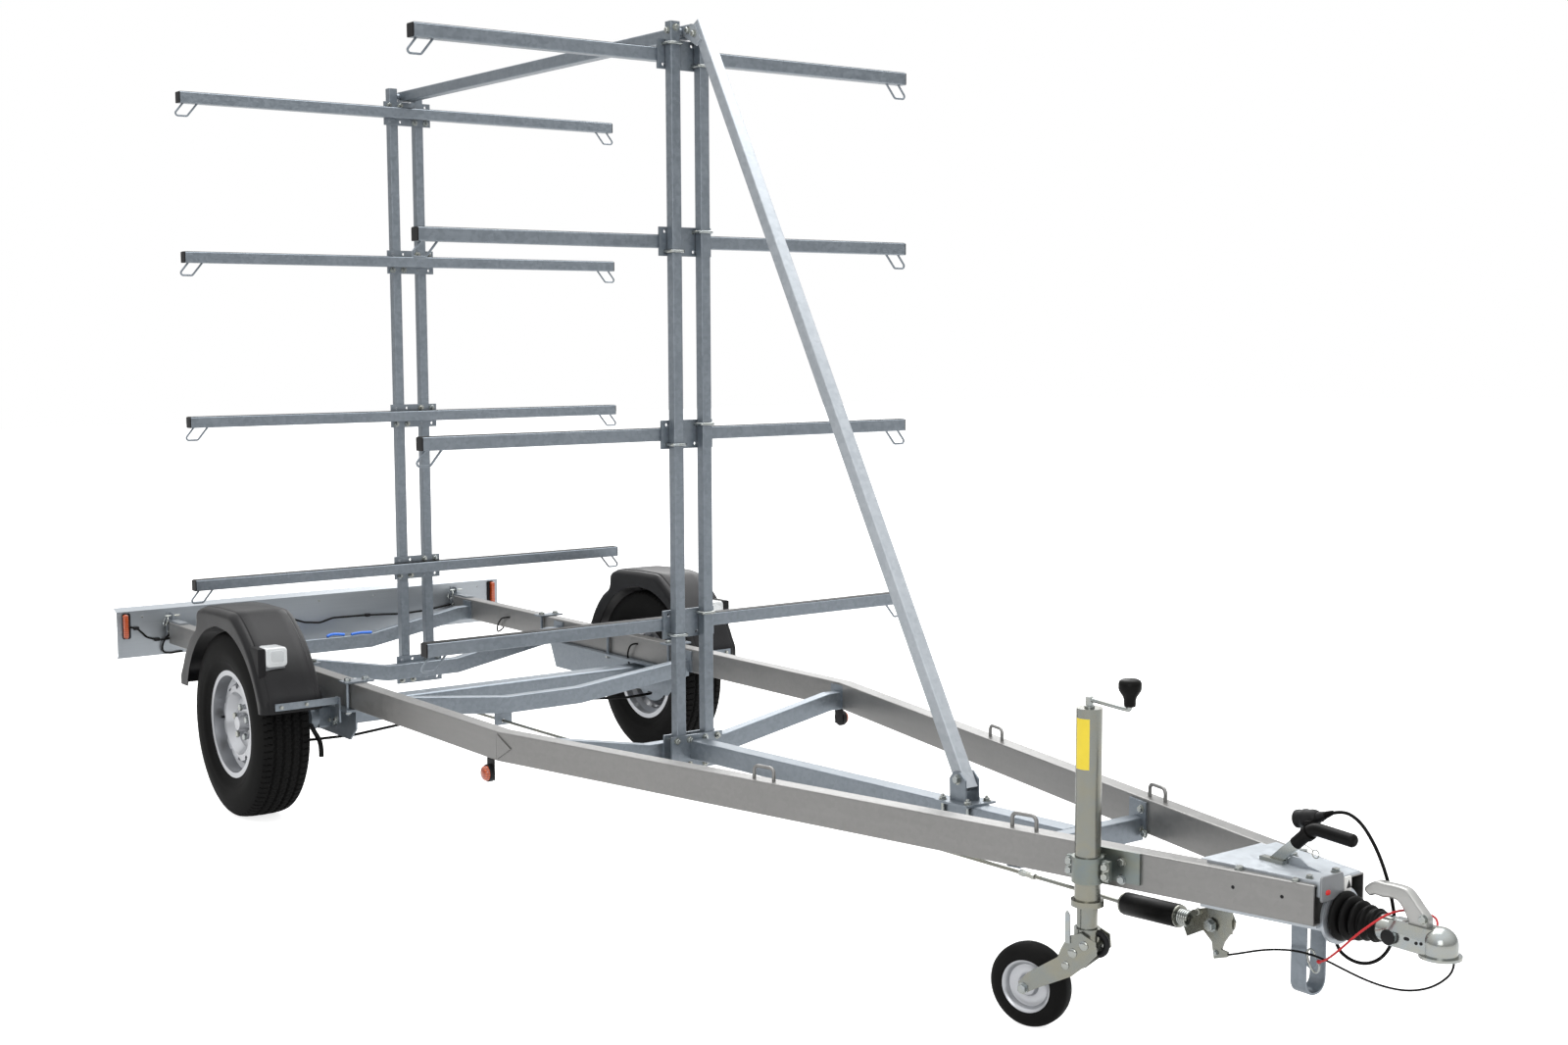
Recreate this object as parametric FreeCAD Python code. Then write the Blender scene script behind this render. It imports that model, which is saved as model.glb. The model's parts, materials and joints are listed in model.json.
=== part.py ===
import FreeCAD, Part
import math
import os

# Rack trailer for canoes and kayaks: twin side rails that meet in a drawbar, two racks of
# crossbars on paired posts, a torsion axle, an overrun coupling and a jockey wheel.
# Built level: x runs forward from the axle, y to the left, z up from the ground under the
# road wheels. stand() then tips it nose down onto its jockey wheel.

os.makedirs("parts", exist_ok=True)
V = FreeCAD.Vector

# stance
noseDownDegrees = 1.2

# road wheels
tyreRadius = 333.0
tyreWidth = 195.0
rimLipRadius = 191.0
rimSeatRadius = 178.0
rimWidth = 152.0
rimWall = 5.0
rimOffset = 30.0
hubBeyondAxle = 165.0
ventCount = 12
ventRadius = 13.0
boltCircleRadius = 56.0
boltCount = 5
boltHoleRadius = 7.0
hubRadius = 78.0
drumRadius = 125.0
drumDepth = 62.0

# side rails
railHeight = 90.0
railWidth = 50.0
railWall = 3.5
tubeCorner = 4.0
railTop = 514.0
railOuterHalf = 685.0
railRearX = -1356.0
railBendX = 1476.0
railFrontX = 3996.0
railFrontHalf = 87.0
gussetReach = 62.0

# cranked cross members
memberWidth = 40.0
memberHeight = 60.0
memberWall = 3.0
memberEndTop = 484.0
memberCentreTop = 404.0
memberBendHalf = 152.0
endPlateThick = 6.0
endPlateLength = 70.0
rearMemberX = -1200.0
midFrontMemberX = 566.0
midFrontEndTop = 470.0
midFrontCentreTop = 422.0
rodGuideWidth = 66.0
drawbarMemberX = 3235.0
drawbarMemberTop = 464.0

# rack
barSize = 40.0
barWall = 3.0
barHalfLength = 912.0
frontBarX = 1487.5
rearBarX = -387.0
postSize = 35.0
postWall = 3.0
postHalfSpacing = 53.5
postAboveBeam = 9.0
postFoot = 322.0
saddleThick = 8.0
saddleLength = 194.0
saddleHeight = 90.0
footSaddleHeight = 110.0
uBoltRadius = 5.0
hoopWire = 3.5
hoopTopInner = 844.0
hoopTopOuter = 896.0
hoopLean = 38.0
hoopDrop = 45.0

# top beam, brace and centre beam
beamSize = 40.0
beamTop = 2646.0
topBarBelowBeam = 68.0
barTops = [803.0, 1405.0, 2006.0, beamTop - topBarBelowBeam]
spacerRadius = 12.0
centreBeamWidth = 57.0
centreBeamHeight = 60.0
centreBeamWall = 4.0
centreBeamRearTop = 412.0
bracePastPost = 57.5
braceBelowBeam = 8.0
braceFootX = 2796.0
braceFootZ = 516.0
bracePastPivot = 32.0
bracePastTop = 8.0
beamPastPost = 28.0
cheekThick = 5.0
footPlateThick = 6.0
footPlateLength = 130.0
footPlateWidth = 104.0
lugLength = 62.0
pivotRadius = 6.0
pivotClearance = 0.5

# axle
axleTubeX = 169.0
axleTubeZ = 360.0
axleTubeSize = 80.0
axleTubeWall = 6.0
axleBeyondRail = 19.0
armThick = 30.0
armEndRadius = 40.0
armTubeRadius = 46.0
stubRadius = 20.0
bracketRearX = -580.0
bracketFrontX = 462.0
bracketFlangeWidth = 106.0
bracketThick = 8.0
bracketDepth = 122.0
clampXs = [-540.0, -10.0, 430.0]
clampPlateLength = 58.0
clampRodRadius = 6.0
stayWidth = 24.0
stayThick = 5.0
stayZ = 451.0
stayInset = 43.0
cableRadius = 5.0

# mudguards: the crown's line is given by bearings from the wheel's centre and its gap to the tyre
guardLine = [(-80.5, 74.5), (-71.7, 90.4), (-66.1, 78.4), (-58.4, 76.9), (-50.9, 74.3), (-43.1, 71.0), (-34.4, 59.8),
             (-29.8, 113.2), (-21.6, 101.5), (-3.6, 78.8), (17.7, 98.4), (28.2, 88.0), (38.2, 82.9), (47.9, 78.3),
             (56.5, 74.7), (65.1, 73.7), (71.3, 80.9), (80.3, 64.7)]
guardOuterGap = 17.5
guardInnerGap = 9.5
guardWall = 4.0
guardShoulder = 24.0
guardCrownRise = 3.5
guardBottom = 428.0
archGap = 19.0
archForward = 18.0

# lamps and light board
boardX = -1403.0
boardHalf = 885.0
boardTop = 567.0
boardHeight = 193.0
boardSheet = 3.0
boardFlange = 36.0
boardFlangeRise = 14.0
strapHalf = 18.0
rearLampLength = 230.0
rearLampHeight = 130.0
rearLampDepth = 55.0
sideLampDepth = 24.0
wiringRadius = 4.0
wiringClear = 2.0
positionLampWidth = 78.0
positionLampHeight = 68.0
positionLampBearing = 51.0
positionLampGap = 112.0
positionLampInset = 9.0
lampHolderWidth = 27.0
markerX = 1418.0
markerRadius = 27.0
markerThick = 16.0
markerDrop = 46.0

# jockey wheel
jockeyX = 3483.0
jockeyStandOff = 48.0
jockeyTubeRadius = 30.0
jockeyInnerRadius = 24.0
runningGap = 0.05
jockeyTubeTop = 845.0
jockeyTubeBottom = 384.0
collarRadius = 38.0
collarHeight = 14.0
jockeyInnerBottom = 302.0
jockeySwivelDegrees = 18.0
jockeyTrail = 143.0
jockeyRadius = 100.0
jockeyTread = 60.0
forkPlate = 5.0
forkHalf = 36.0
jockeyAxleRadius = 8.0
crankReach = 123.0
crankZ = 862.0
knobRadius = 26.0
knobHeight = 42.0

# coupling
housingRearX = 3700.0
housingFrontX = 4004.0
shaftZ = 436.0
shaftRadius = 25.0
bellowsEndX = 4108.0
housingWall = 9.0
housingStrip = 6.0
bellowsRadius = 59.0
bellowsTaper = 22.0
bellowsCollar = 5.0
ballX = 4250.0
ballZ = 428.0
ballSocketRadius = 25.5
cupWall = 9.0
leverY = -14.0
linkageY = -60.0
linkageThick = 6.0
brakeRodRadius = 5.0
springRadius = 26.0
gripRadius = 15.0
gripFootX = 3890.0
gripBendX = 3936.0
gripEndX = 4047.0
loopX = 3900.0
loopDrop = 184.0
loopHalf = 36.0
loopWidth = 40.0
hookRadius = 15.0
hookWire = 2.5
plugRadius = 21.0
plugCableRadius = 4.0
breakawayRadius = 2.5
releaseCordRadius = 2.5


def box(x0, x1, y0, y1, z0, z1):
    return Part.makeBox(x1 - x0, y1 - y0, z1 - z0, V(x0, y0, z0))


def prism(points, direction):
    wire = Part.makePolygon(list(points) + [points[0]])
    return Part.Face(wire).extrude(direction)


def rod(a, b, radius):
    a, b = V(*a), V(*b)
    return Part.makeCylinder(radius, (b - a).Length, a, b - a)


def fuse(shapes):
    whole = shapes[0].multiFuse(shapes[1:])
    return whole.removeSplitter()


def mirrored(shape):
    return shape.mirror(V(0, 0, 0), V(0, 1, 0))


def roundedRectangle(centre, side, up, width, height, corner):
    # closed wire of four lines and four quarter arcs, in the plane of side and up
    w, h, r = width / 2, height / 2, min(corner, width / 2.1, height / 2.1)
    bow = r * (1 - math.sqrt(0.5))

    def at(u, v):
        return centre + side * u + up * v
    edges = []
    for su, sv, nu, nv in ((1, 1, -1, 1), (-1, 1, -1, -1), (-1, -1, 1, -1), (1, -1, 1, 1)):
        flat = su * sv > 0
        first = at(su * w, sv * (h - r)) if flat else at(su * (w - r), sv * h)
        last = at(su * (w - r), sv * h) if flat else at(su * w, sv * (h - r))
        edges.append(Part.Arc(first, at(su * (w - bow), sv * (h - bow)), last).toShape())
        nextFirst = at(nu * (w - r), nv * h) if flat else at(nu * w, nv * (h - r))
        edges.append(Part.LineSegment(last, nextFirst).toShape())
    return Part.Wire(edges)


def hollowTube(points, width, height, wall, up=V(0, 0, 1), corner=tubeCorner):
    # rectangular tube along straight runs, mitred where they meet
    points = [V(*p) for p in points]
    reach = width + height
    pieces = []
    for i in range(len(points) - 1):
        a, b = points[i], points[i + 1]
        along = (b - a).normalize()
        side = along.cross(up).normalize()
        upright = side.cross(along)
        first, last = i == 0, i == len(points) - 2
        start = a if first else a - along * reach
        length = (b - start).Length + (0 if last else reach)
        outer = Part.Face(roundedRectangle(start, side, upright, width, height, corner))
        inner = Part.Face(roundedRectangle(start, side, upright, width - 2 * wall, height - 2 * wall,
                                           max(corner - wall, 0.8)))
        piece = outer.extrude(along * length).cut(inner.extrude(along * length))
        if not first:
            bisector = ((a - points[i - 1]).normalize() + along).normalize()
            piece = piece.cut(halfSpace(a, bisector * -1, reach * 3))
        if not last:
            bisector = (along + (points[i + 2] - b).normalize()).normalize()
            piece = piece.cut(halfSpace(b, bisector, reach * 3))
        pieces.append(piece)
    return fuse(pieces) if len(pieces) > 1 else pieces[0]


def halfSpace(point, normal, size):
    # cube whose one face lies at point, on the side that normal points to
    cube = Part.makeBox(size * 2, size * 2, size * 2, V(-size, -size, 0))
    cube.Placement = FreeCAD.Placement(point, FreeCAD.Rotation(V(0, 0, 1), normal))
    return cube


axleTubeHalf = railOuterHalf + axleBeyondRail
wheelTrackHalf = axleTubeHalf + hubBeyondAxle
guardOuter = wheelTrackHalf + tyreWidth / 2 + guardOuterGap
guardInner = wheelTrackHalf - tyreWidth / 2 - guardInnerGap
postTop = beamTop + postAboveBeam
braceTopZ = beamTop - braceBelowBeam
railSlope = (railOuterHalf - railFrontHalf) / (railFrontX - railBendX)
railAngle = math.atan(railSlope)
railBottom = railTop - railHeight
railInnerHalf = railOuterHalf - railWidth


def railOuterAt(x):
    return railOuterHalf - max(0.0, x - railBendX) * railSlope


innerBendX = railBendX - railWidth * math.tan(railAngle / 2)


def railInnerAt(x):
    # the inner face bends a little behind the outer one, on the mitre
    return railInnerHalf - max(0.0, x - innerBendX) * railSlope


def railCentreLine(z):
    # the bend of the centre line sits on the mitre between the two runs
    middle = railOuterHalf - railWidth / 2
    shift = railWidth / 2 * math.tan(railAngle / 2)
    bend = railBendX - shift
    beyond = railFrontX + railWidth
    front = middle - (beyond - bend) * railSlope
    return [(railRearX, -middle, z), (bend, -middle, z), (beyond, -front, z)]


def lashingLoop(x, y):
    wire, half, rise = 5.0, 34.0, 34.0
    c, s = math.cos(railAngle), math.sin(railAngle)

    def at(u, z):
        return V(x + u * c, y + u * s, railTop + z)
    path = Part.Wire([
        Part.LineSegment(at(-half, -1), at(-half, rise - 14)).toShape(),
        Part.Arc(at(-half, rise - 14), at(-half + 4.1, rise - 4.1), at(-half + 14, rise)).toShape(),
        Part.LineSegment(at(-half + 14, rise), at(half - 14, rise)).toShape(),
        Part.Arc(at(half - 14, rise), at(half - 4.1, rise - 4.1), at(half, rise - 14)).toShape(),
        Part.LineSegment(at(half, rise - 14), at(half, -1)).toShape()])
    profile = Part.Wire([Part.Circle(at(-half, -1), V(0, 0, 1), wire).toShape()])
    return path.makePipeShell([profile], True, True)


def makeRail():
    # the front end is cut square across the trailer
    tube = hollowTube(railCentreLine(railTop - railHeight / 2), railWidth, railHeight, railWall)
    tube = tube.cut(halfSpace(V(railFrontX, 0, railTop), V(1, 0, 0), railOuterHalf))
    face = -railOuterHalf
    half = railHeight / 2
    middle = railTop - half
    diamond = [V(railBendX - gussetReach, face, middle), V(railBendX, face, middle + half - 6),
               V(railBendX, face, middle - half + 6)]
    c, s = math.cos(railAngle), math.sin(railAngle)
    tip = V(railBendX + gussetReach * c, face + gussetReach * s, middle)
    rearHalf = prism(diamond, V(0, -4, 0))
    frontHalf = prism([V(railBendX, face, middle + half - 6), tip, V(railBendX, face, middle - half + 6)],
                      V(s * 4, -c * 4, 0))
    pieces = [tube, rearHalf, frontHalf]
    for x in (2470.0, 3265.0):
        pieces.append(lashingLoop(x, -(railOuterAt(x) + railInnerAt(x)) / 2))
    return fuse(pieces)


def crankedMember(frontX, saddleSide=0, endTop=memberEndTop, centreTop=memberCentreTop):
    # saddleSide 1 puts the post plate on the front face, -1 on the rear face, 0 leaves it out
    x = frontX - memberWidth / 2
    half = memberHeight / 2
    run = railInnerHalf - endPlateThick - 46
    path = [(x, -railInnerHalf + endPlateThick, endTop - half), (x, -run, endTop - half),
            (x, -memberBendHalf, centreTop - half), (x, memberBendHalf, centreTop - half),
            (x, run, endTop - half), (x, railInnerHalf - endPlateThick, endTop - half)]
    pieces = [hollowTube(path, memberWidth, memberHeight, memberWall)]
    for side in (-1, 1):
        y0 = side * railInnerHalf
        y1 = side * (railInnerHalf - endPlateThick)
        pieces.append(box(x - endPlateLength / 2, x + endPlateLength / 2, min(y0, y1), max(y0, y1),
                          railBottom + 2, railTop - 8))
    if saddleSide:
        faceX = frontX if saddleSide > 0 else frontX - memberWidth
        low, high = sorted((faceX, faceX + saddleSide * saddleThick))
        middle = centreTop - half
        pieces.append(saddle(low, high, middle, footSaddleHeight, memberHeight))
    return fuse(pieces).common(betweenRails(x - endPlateLength, x + endPlateLength))


def guidedMember():
    # cranked member with a hanging guide that the brake rod slides through
    member = crankedMember(midFrontMemberX, 0, midFrontEndTop, midFrontCentreTop)
    x, y, z = rodGuide
    guide = box(x - 4, x + 4, y - rodGuideWidth / 2, y + rodGuideWidth / 2, z - 14, midFrontCentreTop - memberHeight + 3)
    return member.fuse(guide.cut(rod((x - 5, y, z), (x + 5, y, z), brakeRodRadius + 2.5))).removeSplitter()


def betweenRails(x0, x1):
    # space between the rails' inner faces
    xs = [x0, x1]
    if x0 < innerBendX < x1:
        xs = [x0, innerBendX, x1]
    right = [V(x, -railInnerAt(x), 0) for x in xs]
    left = [V(x, railInnerAt(x), 0) for x in reversed(xs)]
    return prism(right + left, V(0, 0, 1000))


def saddle(x0, x1, middle, height, barHeight):
    # plate with a pair of U-bolt holes for each post, above and below the bar
    plate = box(x0, x1, -saddleLength / 2, saddleLength / 2, middle - height / 2, middle + height / 2)
    for y in (-postHalfSpacing, postHalfSpacing):
        for dy in (-1, 1):
            for dz in (-1, 1):
                hole = rod((x0 - 1, y + dy * (postSize / 2 + uBoltRadius + 1), middle + dz * holeHeight(barHeight)),
                           (x1 + 1, y + dy * (postSize / 2 + uBoltRadius + 1), middle + dz * holeHeight(barHeight)),
                           uBoltRadius + 0.5)
                plate = plate.cut(hole)
    return plate


def holeHeight(barHeight):
    return barHeight / 2 + uBoltRadius + 6


def straightMember():
    front, rear = drawbarMemberX, drawbarMemberX - memberWidth
    half = railOuterAt(rear)
    middle = drawbarMemberTop - memberHeight / 2
    tube = hollowTube([((front + rear) / 2, -half, middle), ((front + rear) / 2, half, middle)],
                      memberWidth, memberHeight, memberWall)
    plates = []
    for side in (-1, 1):
        x0, x1 = rear - 16, front + 16
        near = [V(x, side * railInnerAt(x), railBottom + 2) for x in (x0, x1)]
        far = [V(x, side * (railInnerAt(x) - endPlateThick), railBottom + 2) for x in (x1, x0)]
        plates.append(prism(near + far, V(0, 0, railHeight - 10)))
    return fuse([tube.common(betweenRails(rear - 60, front + 60))] + plates)


def post(x, y):
    return hollowTube([(x, y, postFoot), (x, y, postTop)], postSize, postSize, postWall, up=V(1, 0, 0))


def hoop(x, side, barTop):
    # wire loop under the bar's end, leaning outwards
    top = barTop - barSize + 1.0
    low = barTop - barSize - hoopDrop
    corners = [(hoopTopInner, top), (hoopTopInner + hoopLean, low), (hoopTopOuter + hoopLean, low),
               (hoopTopOuter, top)]
    points = [V(x, side * y, z) for y, z in corners]
    path = roundedPath(points, 9.0)
    profile = Part.Wire([Part.Circle(points[0], points[1] - points[0], hoopWire).toShape()])
    return path.makePipeShell([profile], True, True)


def roundedPath(points, radius):
    # straight runs joined by arcs that touch both
    edges = []
    last = points[0]
    for a, b, c in zip(points, points[1:], points[2:]):
        into, out = (b - a).normalize(), (c - b).normalize()
        turn = into.getAngle(out)
        cutBack = radius * math.tan(turn / 2)
        start, end = b - into * cutBack, b + out * cutBack
        middle = b + (out - into).normalize() * (radius / math.cos(turn / 2) - radius)
        edges.append(Part.LineSegment(last, start).toShape())
        edges.append(Part.Arc(start, middle, end).toShape())
        last = end
    edges.append(Part.LineSegment(last, points[-1]).toShape())
    return Part.Wire(edges)


def crossbar(barX, saddleSide, barTop):
    x = barX - barSize / 2
    middle = barTop - barSize / 2
    tube = hollowTube([(x, -barHalfLength, middle), (x, barHalfLength, middle)], barSize, barSize, barWall)
    faceX = barX if saddleSide > 0 else barX - barSize
    low, high = sorted((faceX, faceX + saddleSide * saddleThick))
    pieces = [tube, saddle(low, high, middle, saddleHeight, barSize)]
    pieces += [hoop(x, side, barTop) for side in (-1, 1)]
    return fuse(pieces)


frontPostX = frontBarX + saddleThick + postSize / 2
rearPostX = rearBarX - barSize - saddleThick - postSize / 2
centreBeamRearX = frontPostX + postSize / 2 + saddleThick
centreBeamFrontX = drawbarMemberX - memberWidth
braceTopX = frontPostX + postSize / 2 + bracePastPost
rodGuide = (midFrontMemberX - memberWidth / 2, -memberBendHalf - 5, memberCentreTop - memberHeight - 10)
centreBeamTilt = math.atan((drawbarMemberTop - centreBeamRearTop) / (centreBeamFrontX - centreBeamRearX))


def makeTopBeam():
    rear, front = rearPostX - postSize / 2, frontPostX + postSize / 2 + beamPastPost
    middle = beamTop - beamSize / 2
    beam = hollowTube([(rear, 0, middle), (front, 0, middle)], beamSize, beamSize, barWall)
    pieces = [beam]
    inner = postHalfSpacing - postSize / 2
    for x in (rearPostX, frontPostX):
        for side in (-1, 1):
            pieces.append(rod((x, side * (beamSize / 2 - 1), middle), (x, side * inner, middle), spacerRadius))
    return fuse(pieces)


def makeBrace():
    # strut with cheek plates that grip the top beam's front end
    top, foot = V(braceTopX, 0, braceTopZ), V(braceFootX, 0, braceFootZ)
    down = (foot - top).normalize()
    tube = hollowTube([tuple(top - down * bracePastTop), tuple(foot + down * bracePastPivot)],
                      beamSize, beamSize, barWall, up=V(0, 1, 0))
    tube = tube.cut(rod((braceFootX, -60, braceFootZ), (braceFootX, 60, braceFootZ),
                        pivotRadius + pivotClearance))
    front = frontPostX + postSize / 2
    middle = beamTop - beamSize / 2
    outline = [(front, middle - 15), (front, middle + 15), (braceTopX + 4, middle + 15),
               (braceTopX + 34, middle - 34), (braceTopX + 12, middle - 52)]
    cheeks = []
    for y in (-beamSize / 2 - cheekThick, beamSize / 2):
        cheeks.append(prism([V(x, y, z) for x, z in outline], V(0, cheekThick, 0)))
    return fuse([tube] + cheeks)


def makeCentreBeam():
    half = centreBeamHeight / 2
    beam = hollowTube([(centreBeamRearX - 8, 0, centreBeamRearTop - half),
                       (centreBeamFrontX + 8, 0, drawbarMemberTop - half)],
                      centreBeamWidth, centreBeamHeight, centreBeamWall)
    beam = beam.common(box(centreBeamRearX, centreBeamFrontX, -100, 100, 0, 1000))
    rear = centreBeamRearX - saddleThick
    middle = memberCentreTop - memberHeight / 2
    plate = box(rear, centreBeamRearX, -saddleLength / 2, saddleLength / 2,
                middle - footSaddleHeight / 2, middle + footSaddleHeight / 2)
    return fuse([beam, plate])


def makeBraceFoot():
    # U-shaped lug on a plate that U-bolts hold on the centre beam
    topAtFoot = centreBeamRearTop + (braceFootX - centreBeamRearX) * math.tan(centreBeamTilt)
    half = footPlateLength / 2
    plate = box(-half, half, -footPlateWidth / 2, footPlateWidth / 2, 0, footPlateThick)
    gap = beamSize / 2 + 0.5
    pivotRise = (braceFootZ - topAtFoot) * math.cos(centreBeamTilt)
    pieces = [plate]
    for side in (-1, 1):
        y = gap if side > 0 else -gap - cheekThick
        lug = prism([V(-lugLength / 2, y, footPlateThick - 1), V(lugLength / 2, y, footPlateThick - 1),
                     V(lugLength / 2, y, pivotRise), V(10, y, pivotRise + 20), V(-14, y, pivotRise + 20),
                     V(-lugLength / 2, y, pivotRise)], V(0, cheekThick, 0))
        pieces.append(lug)
    pieces.append(rod((0, -gap - cheekThick - 9, pivotRise), (0, gap + cheekThick + 9, pivotRise), pivotRadius))
    whole = fuse(pieces)
    for x in (-half + 16, half - 16):
        for y in (-1, 1):
            reach = centreBeamWidth / 2 + uBoltRadius + 1
            whole = whole.cut(rod((x, y * reach, -1), (x, y * reach, footPlateThick + 1), uBoltRadius + 0.5))
    whole.rotate(V(0, 0, 0), V(0, 1, 0), -math.degrees(centreBeamTilt))
    whole.translate(V(braceFootX + pivotRise * math.sin(centreBeamTilt), 0,
                      braceFootZ - pivotRise * math.cos(centreBeamTilt)))
    return whole


def makeAxleBeam():
    tube = hollowTube([(axleTubeX, -axleTubeHalf, axleTubeZ), (axleTubeX, axleTubeHalf, axleTubeZ)],
                      axleTubeSize, axleTubeSize, axleTubeWall, corner=9.0)
    return tube


def makeArm():
    # trailing arm with its stub axle and the fixed back plate of the drum brake
    y0 = -axleTubeHalf - armThick
    big = rod((axleTubeX, y0, axleTubeZ), (axleTubeX, -axleTubeHalf, axleTubeZ), armTubeRadius)
    small = rod((0, y0, tyreRadius), (0, -axleTubeHalf, tyreRadius), armEndRadius)
    dx, dz = axleTubeX, axleTubeZ - tyreRadius
    length = math.hypot(dx, dz)
    nx, nz = -dz / length, dx / length
    web = prism([V(nx * armEndRadius, y0, tyreRadius + nz * armEndRadius),
                 V(axleTubeX + nx * armTubeRadius, y0, axleTubeZ + nz * armTubeRadius),
                 V(axleTubeX - nx * armTubeRadius, y0, axleTubeZ - nz * armTubeRadius),
                 V(-nx * armEndRadius, y0, tyreRadius - nz * armEndRadius)], V(0, armThick, 0))
    plateY = -wheelTrackHalf - rimOffset + drumDepth
    backPlate = rod((0, plateY, tyreRadius), (0, plateY + 6, tyreRadius), drumRadius)
    stub = rod((0, -wheelTrackHalf - 20, tyreRadius), (0, y0 + 2, tyreRadius), stubRadius)
    return fuse([big, small, web, backPlate, stub])


def makeBracket():
    # flange under the rail with a deep web, hung from clamp plates by vertical rods
    centre = -(railOuterHalf + railInnerHalf) / 2
    half = bracketFlangeWidth / 2
    flange = box(bracketRearX, bracketFrontX, centre - half, centre + half, railBottom - bracketThick, railBottom)
    low = railBottom - bracketDepth
    under = railBottom - bracketThick + 1
    outline = [(bracketRearX + 42, under), (bracketFrontX - 36, under), (bracketFrontX - 40, low + 44),
               (bracketFrontX - 91, low), (bracketRearX + 102, low), (bracketRearX + 56, under - 16)]
    web = prism([V(x, centre - 3, z) for x, z in outline], V(0, 6, 0))
    pieces = [flange, web]
    reach = railWidth / 2 + clampRodRadius + 2
    for x in clampXs:
        pieces.append(box(x - clampPlateLength / 2, x + clampPlateLength / 2, centre - half, centre + half,
                          railTop, railTop + 6))
        for side in (-1, 1):
            pieces.append(rod((x, centre + side * reach, railBottom - bracketThick - 14),
                              (x, centre + side * reach, railTop + 18), clampRodRadius))
    whole = fuse(pieces)
    hole = box(axleTubeX - axleTubeSize / 2, axleTubeX + axleTubeSize / 2, centre - 40, centre + 40,
               axleTubeZ - axleTubeSize / 2, axleTubeZ + axleTubeSize / 2)
    return whole.cut(hole)


def makeStay(x, inward):
    # flat bar across one end of the mudguard, on a strap against the bracket flange's outer edge
    x0, x1 = sorted((x, x + inward * stayThick))
    edge = -(railOuterHalf + railInnerHalf) / 2 - bracketFlangeWidth / 2
    top = stayZ + stayWidth / 2
    bar = box(x0, x1, -guardOuter + stayInset, edge, stayZ - stayWidth / 2, top)
    strap = box(x0 - 14, x1 + 14, edge - 6, edge, railBottom - bracketThick - 40, top)
    return fuse([bar, strap])


def makeStays():
    # front and rear stays of both mudguards
    points = guardOutline()
    front = max(points[-1][0], points[-2][0]) + guardCrownRise
    rear = min(points[0][0], points[1][0]) - guardCrownRise
    stays = [makeStay(front, 1), makeStay(rear, -1)]
    return Part.makeCompound(stays + [mirrored(stay) for stay in stays])


def brakeCable():
    # cable from the equaliser, under the bracket, to the brake's back plate
    x, y, z = rodGuide
    low = railBottom - bracketDepth - 4 * cableRadius
    plateY = -wheelTrackHalf - rimOffset + drumDepth + 6
    start = (axleTubeX + axleTubeSize / 2 + 14, y - 18, tyreRadius - 6)
    points = [V(*start), V(start[0] + 3, y - 110, tyreRadius - 22), V(start[0] - 10, -railInnerHalf + 60, low),
              V(start[0] - 50, -axleTubeHalf - 10, low - 6), V(66, plateY + 62, low - 20), V(66, plateY, low - 20)]
    path = roundedPath(points, 38.0)
    profile = Part.Wire([Part.Circle(points[0], points[1] - points[0], cableRadius).toShape()])
    return path.makePipeShell([profile], True, True)


def revolved(profile, y):
    # profile of (across, radius) turned about the wheel's axle at y
    points = [V(0, y + across, tyreRadius + radius) for across, radius in profile]
    face = Part.Face(Part.makePolygon(points + [points[0]]))
    return face.revolve(V(0, y, tyreRadius), V(0, 1, 0), 360)


def makeTyre():
    half = tyreWidth / 2
    crown = half * 0.74
    seat = rimWidth / 2 - rimWall
    side = (tyreRadius + rimLipRadius) / 2
    centre = -wheelTrackHalf

    def at(across, radius):
        return V(0, centre + across, tyreRadius + radius)
    bead = rimSeatRadius
    edges = [Part.LineSegment(at(-seat, bead), at(seat, bead)).toShape(),
             Part.LineSegment(at(seat, bead), at(seat, rimLipRadius + 1)).toShape(),
             Part.LineSegment(at(seat, rimLipRadius + 1), at(seat + 4, rimLipRadius + 5)).toShape(),
             Part.Arc(at(seat + 4, rimLipRadius + 5), at(half, side), at(half - 8, tyreRadius - 28)).toShape(),
             Part.Arc(at(half - 8, tyreRadius - 28), at(half - 14, tyreRadius - 10),
                      at(crown, tyreRadius - 3)).toShape(),
             Part.Arc(at(crown, tyreRadius - 3), at(0, tyreRadius), at(-crown, tyreRadius - 3)).toShape(),
             Part.Arc(at(-crown, tyreRadius - 3), at(-half + 14, tyreRadius - 10),
                      at(-half + 8, tyreRadius - 28)).toShape(),
             Part.Arc(at(-half + 8, tyreRadius - 28), at(-half, side), at(-seat - 4, rimLipRadius + 5)).toShape(),
             Part.LineSegment(at(-seat - 4, rimLipRadius + 5), at(-seat, rimLipRadius + 1)).toShape(),
             Part.LineSegment(at(-seat, rimLipRadius + 1), at(-seat, bead)).toShape()]
    face = Part.Face(Part.Wire(edges))
    return face.revolve(V(0, centre, tyreRadius), V(0, 1, 0), 360)


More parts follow.
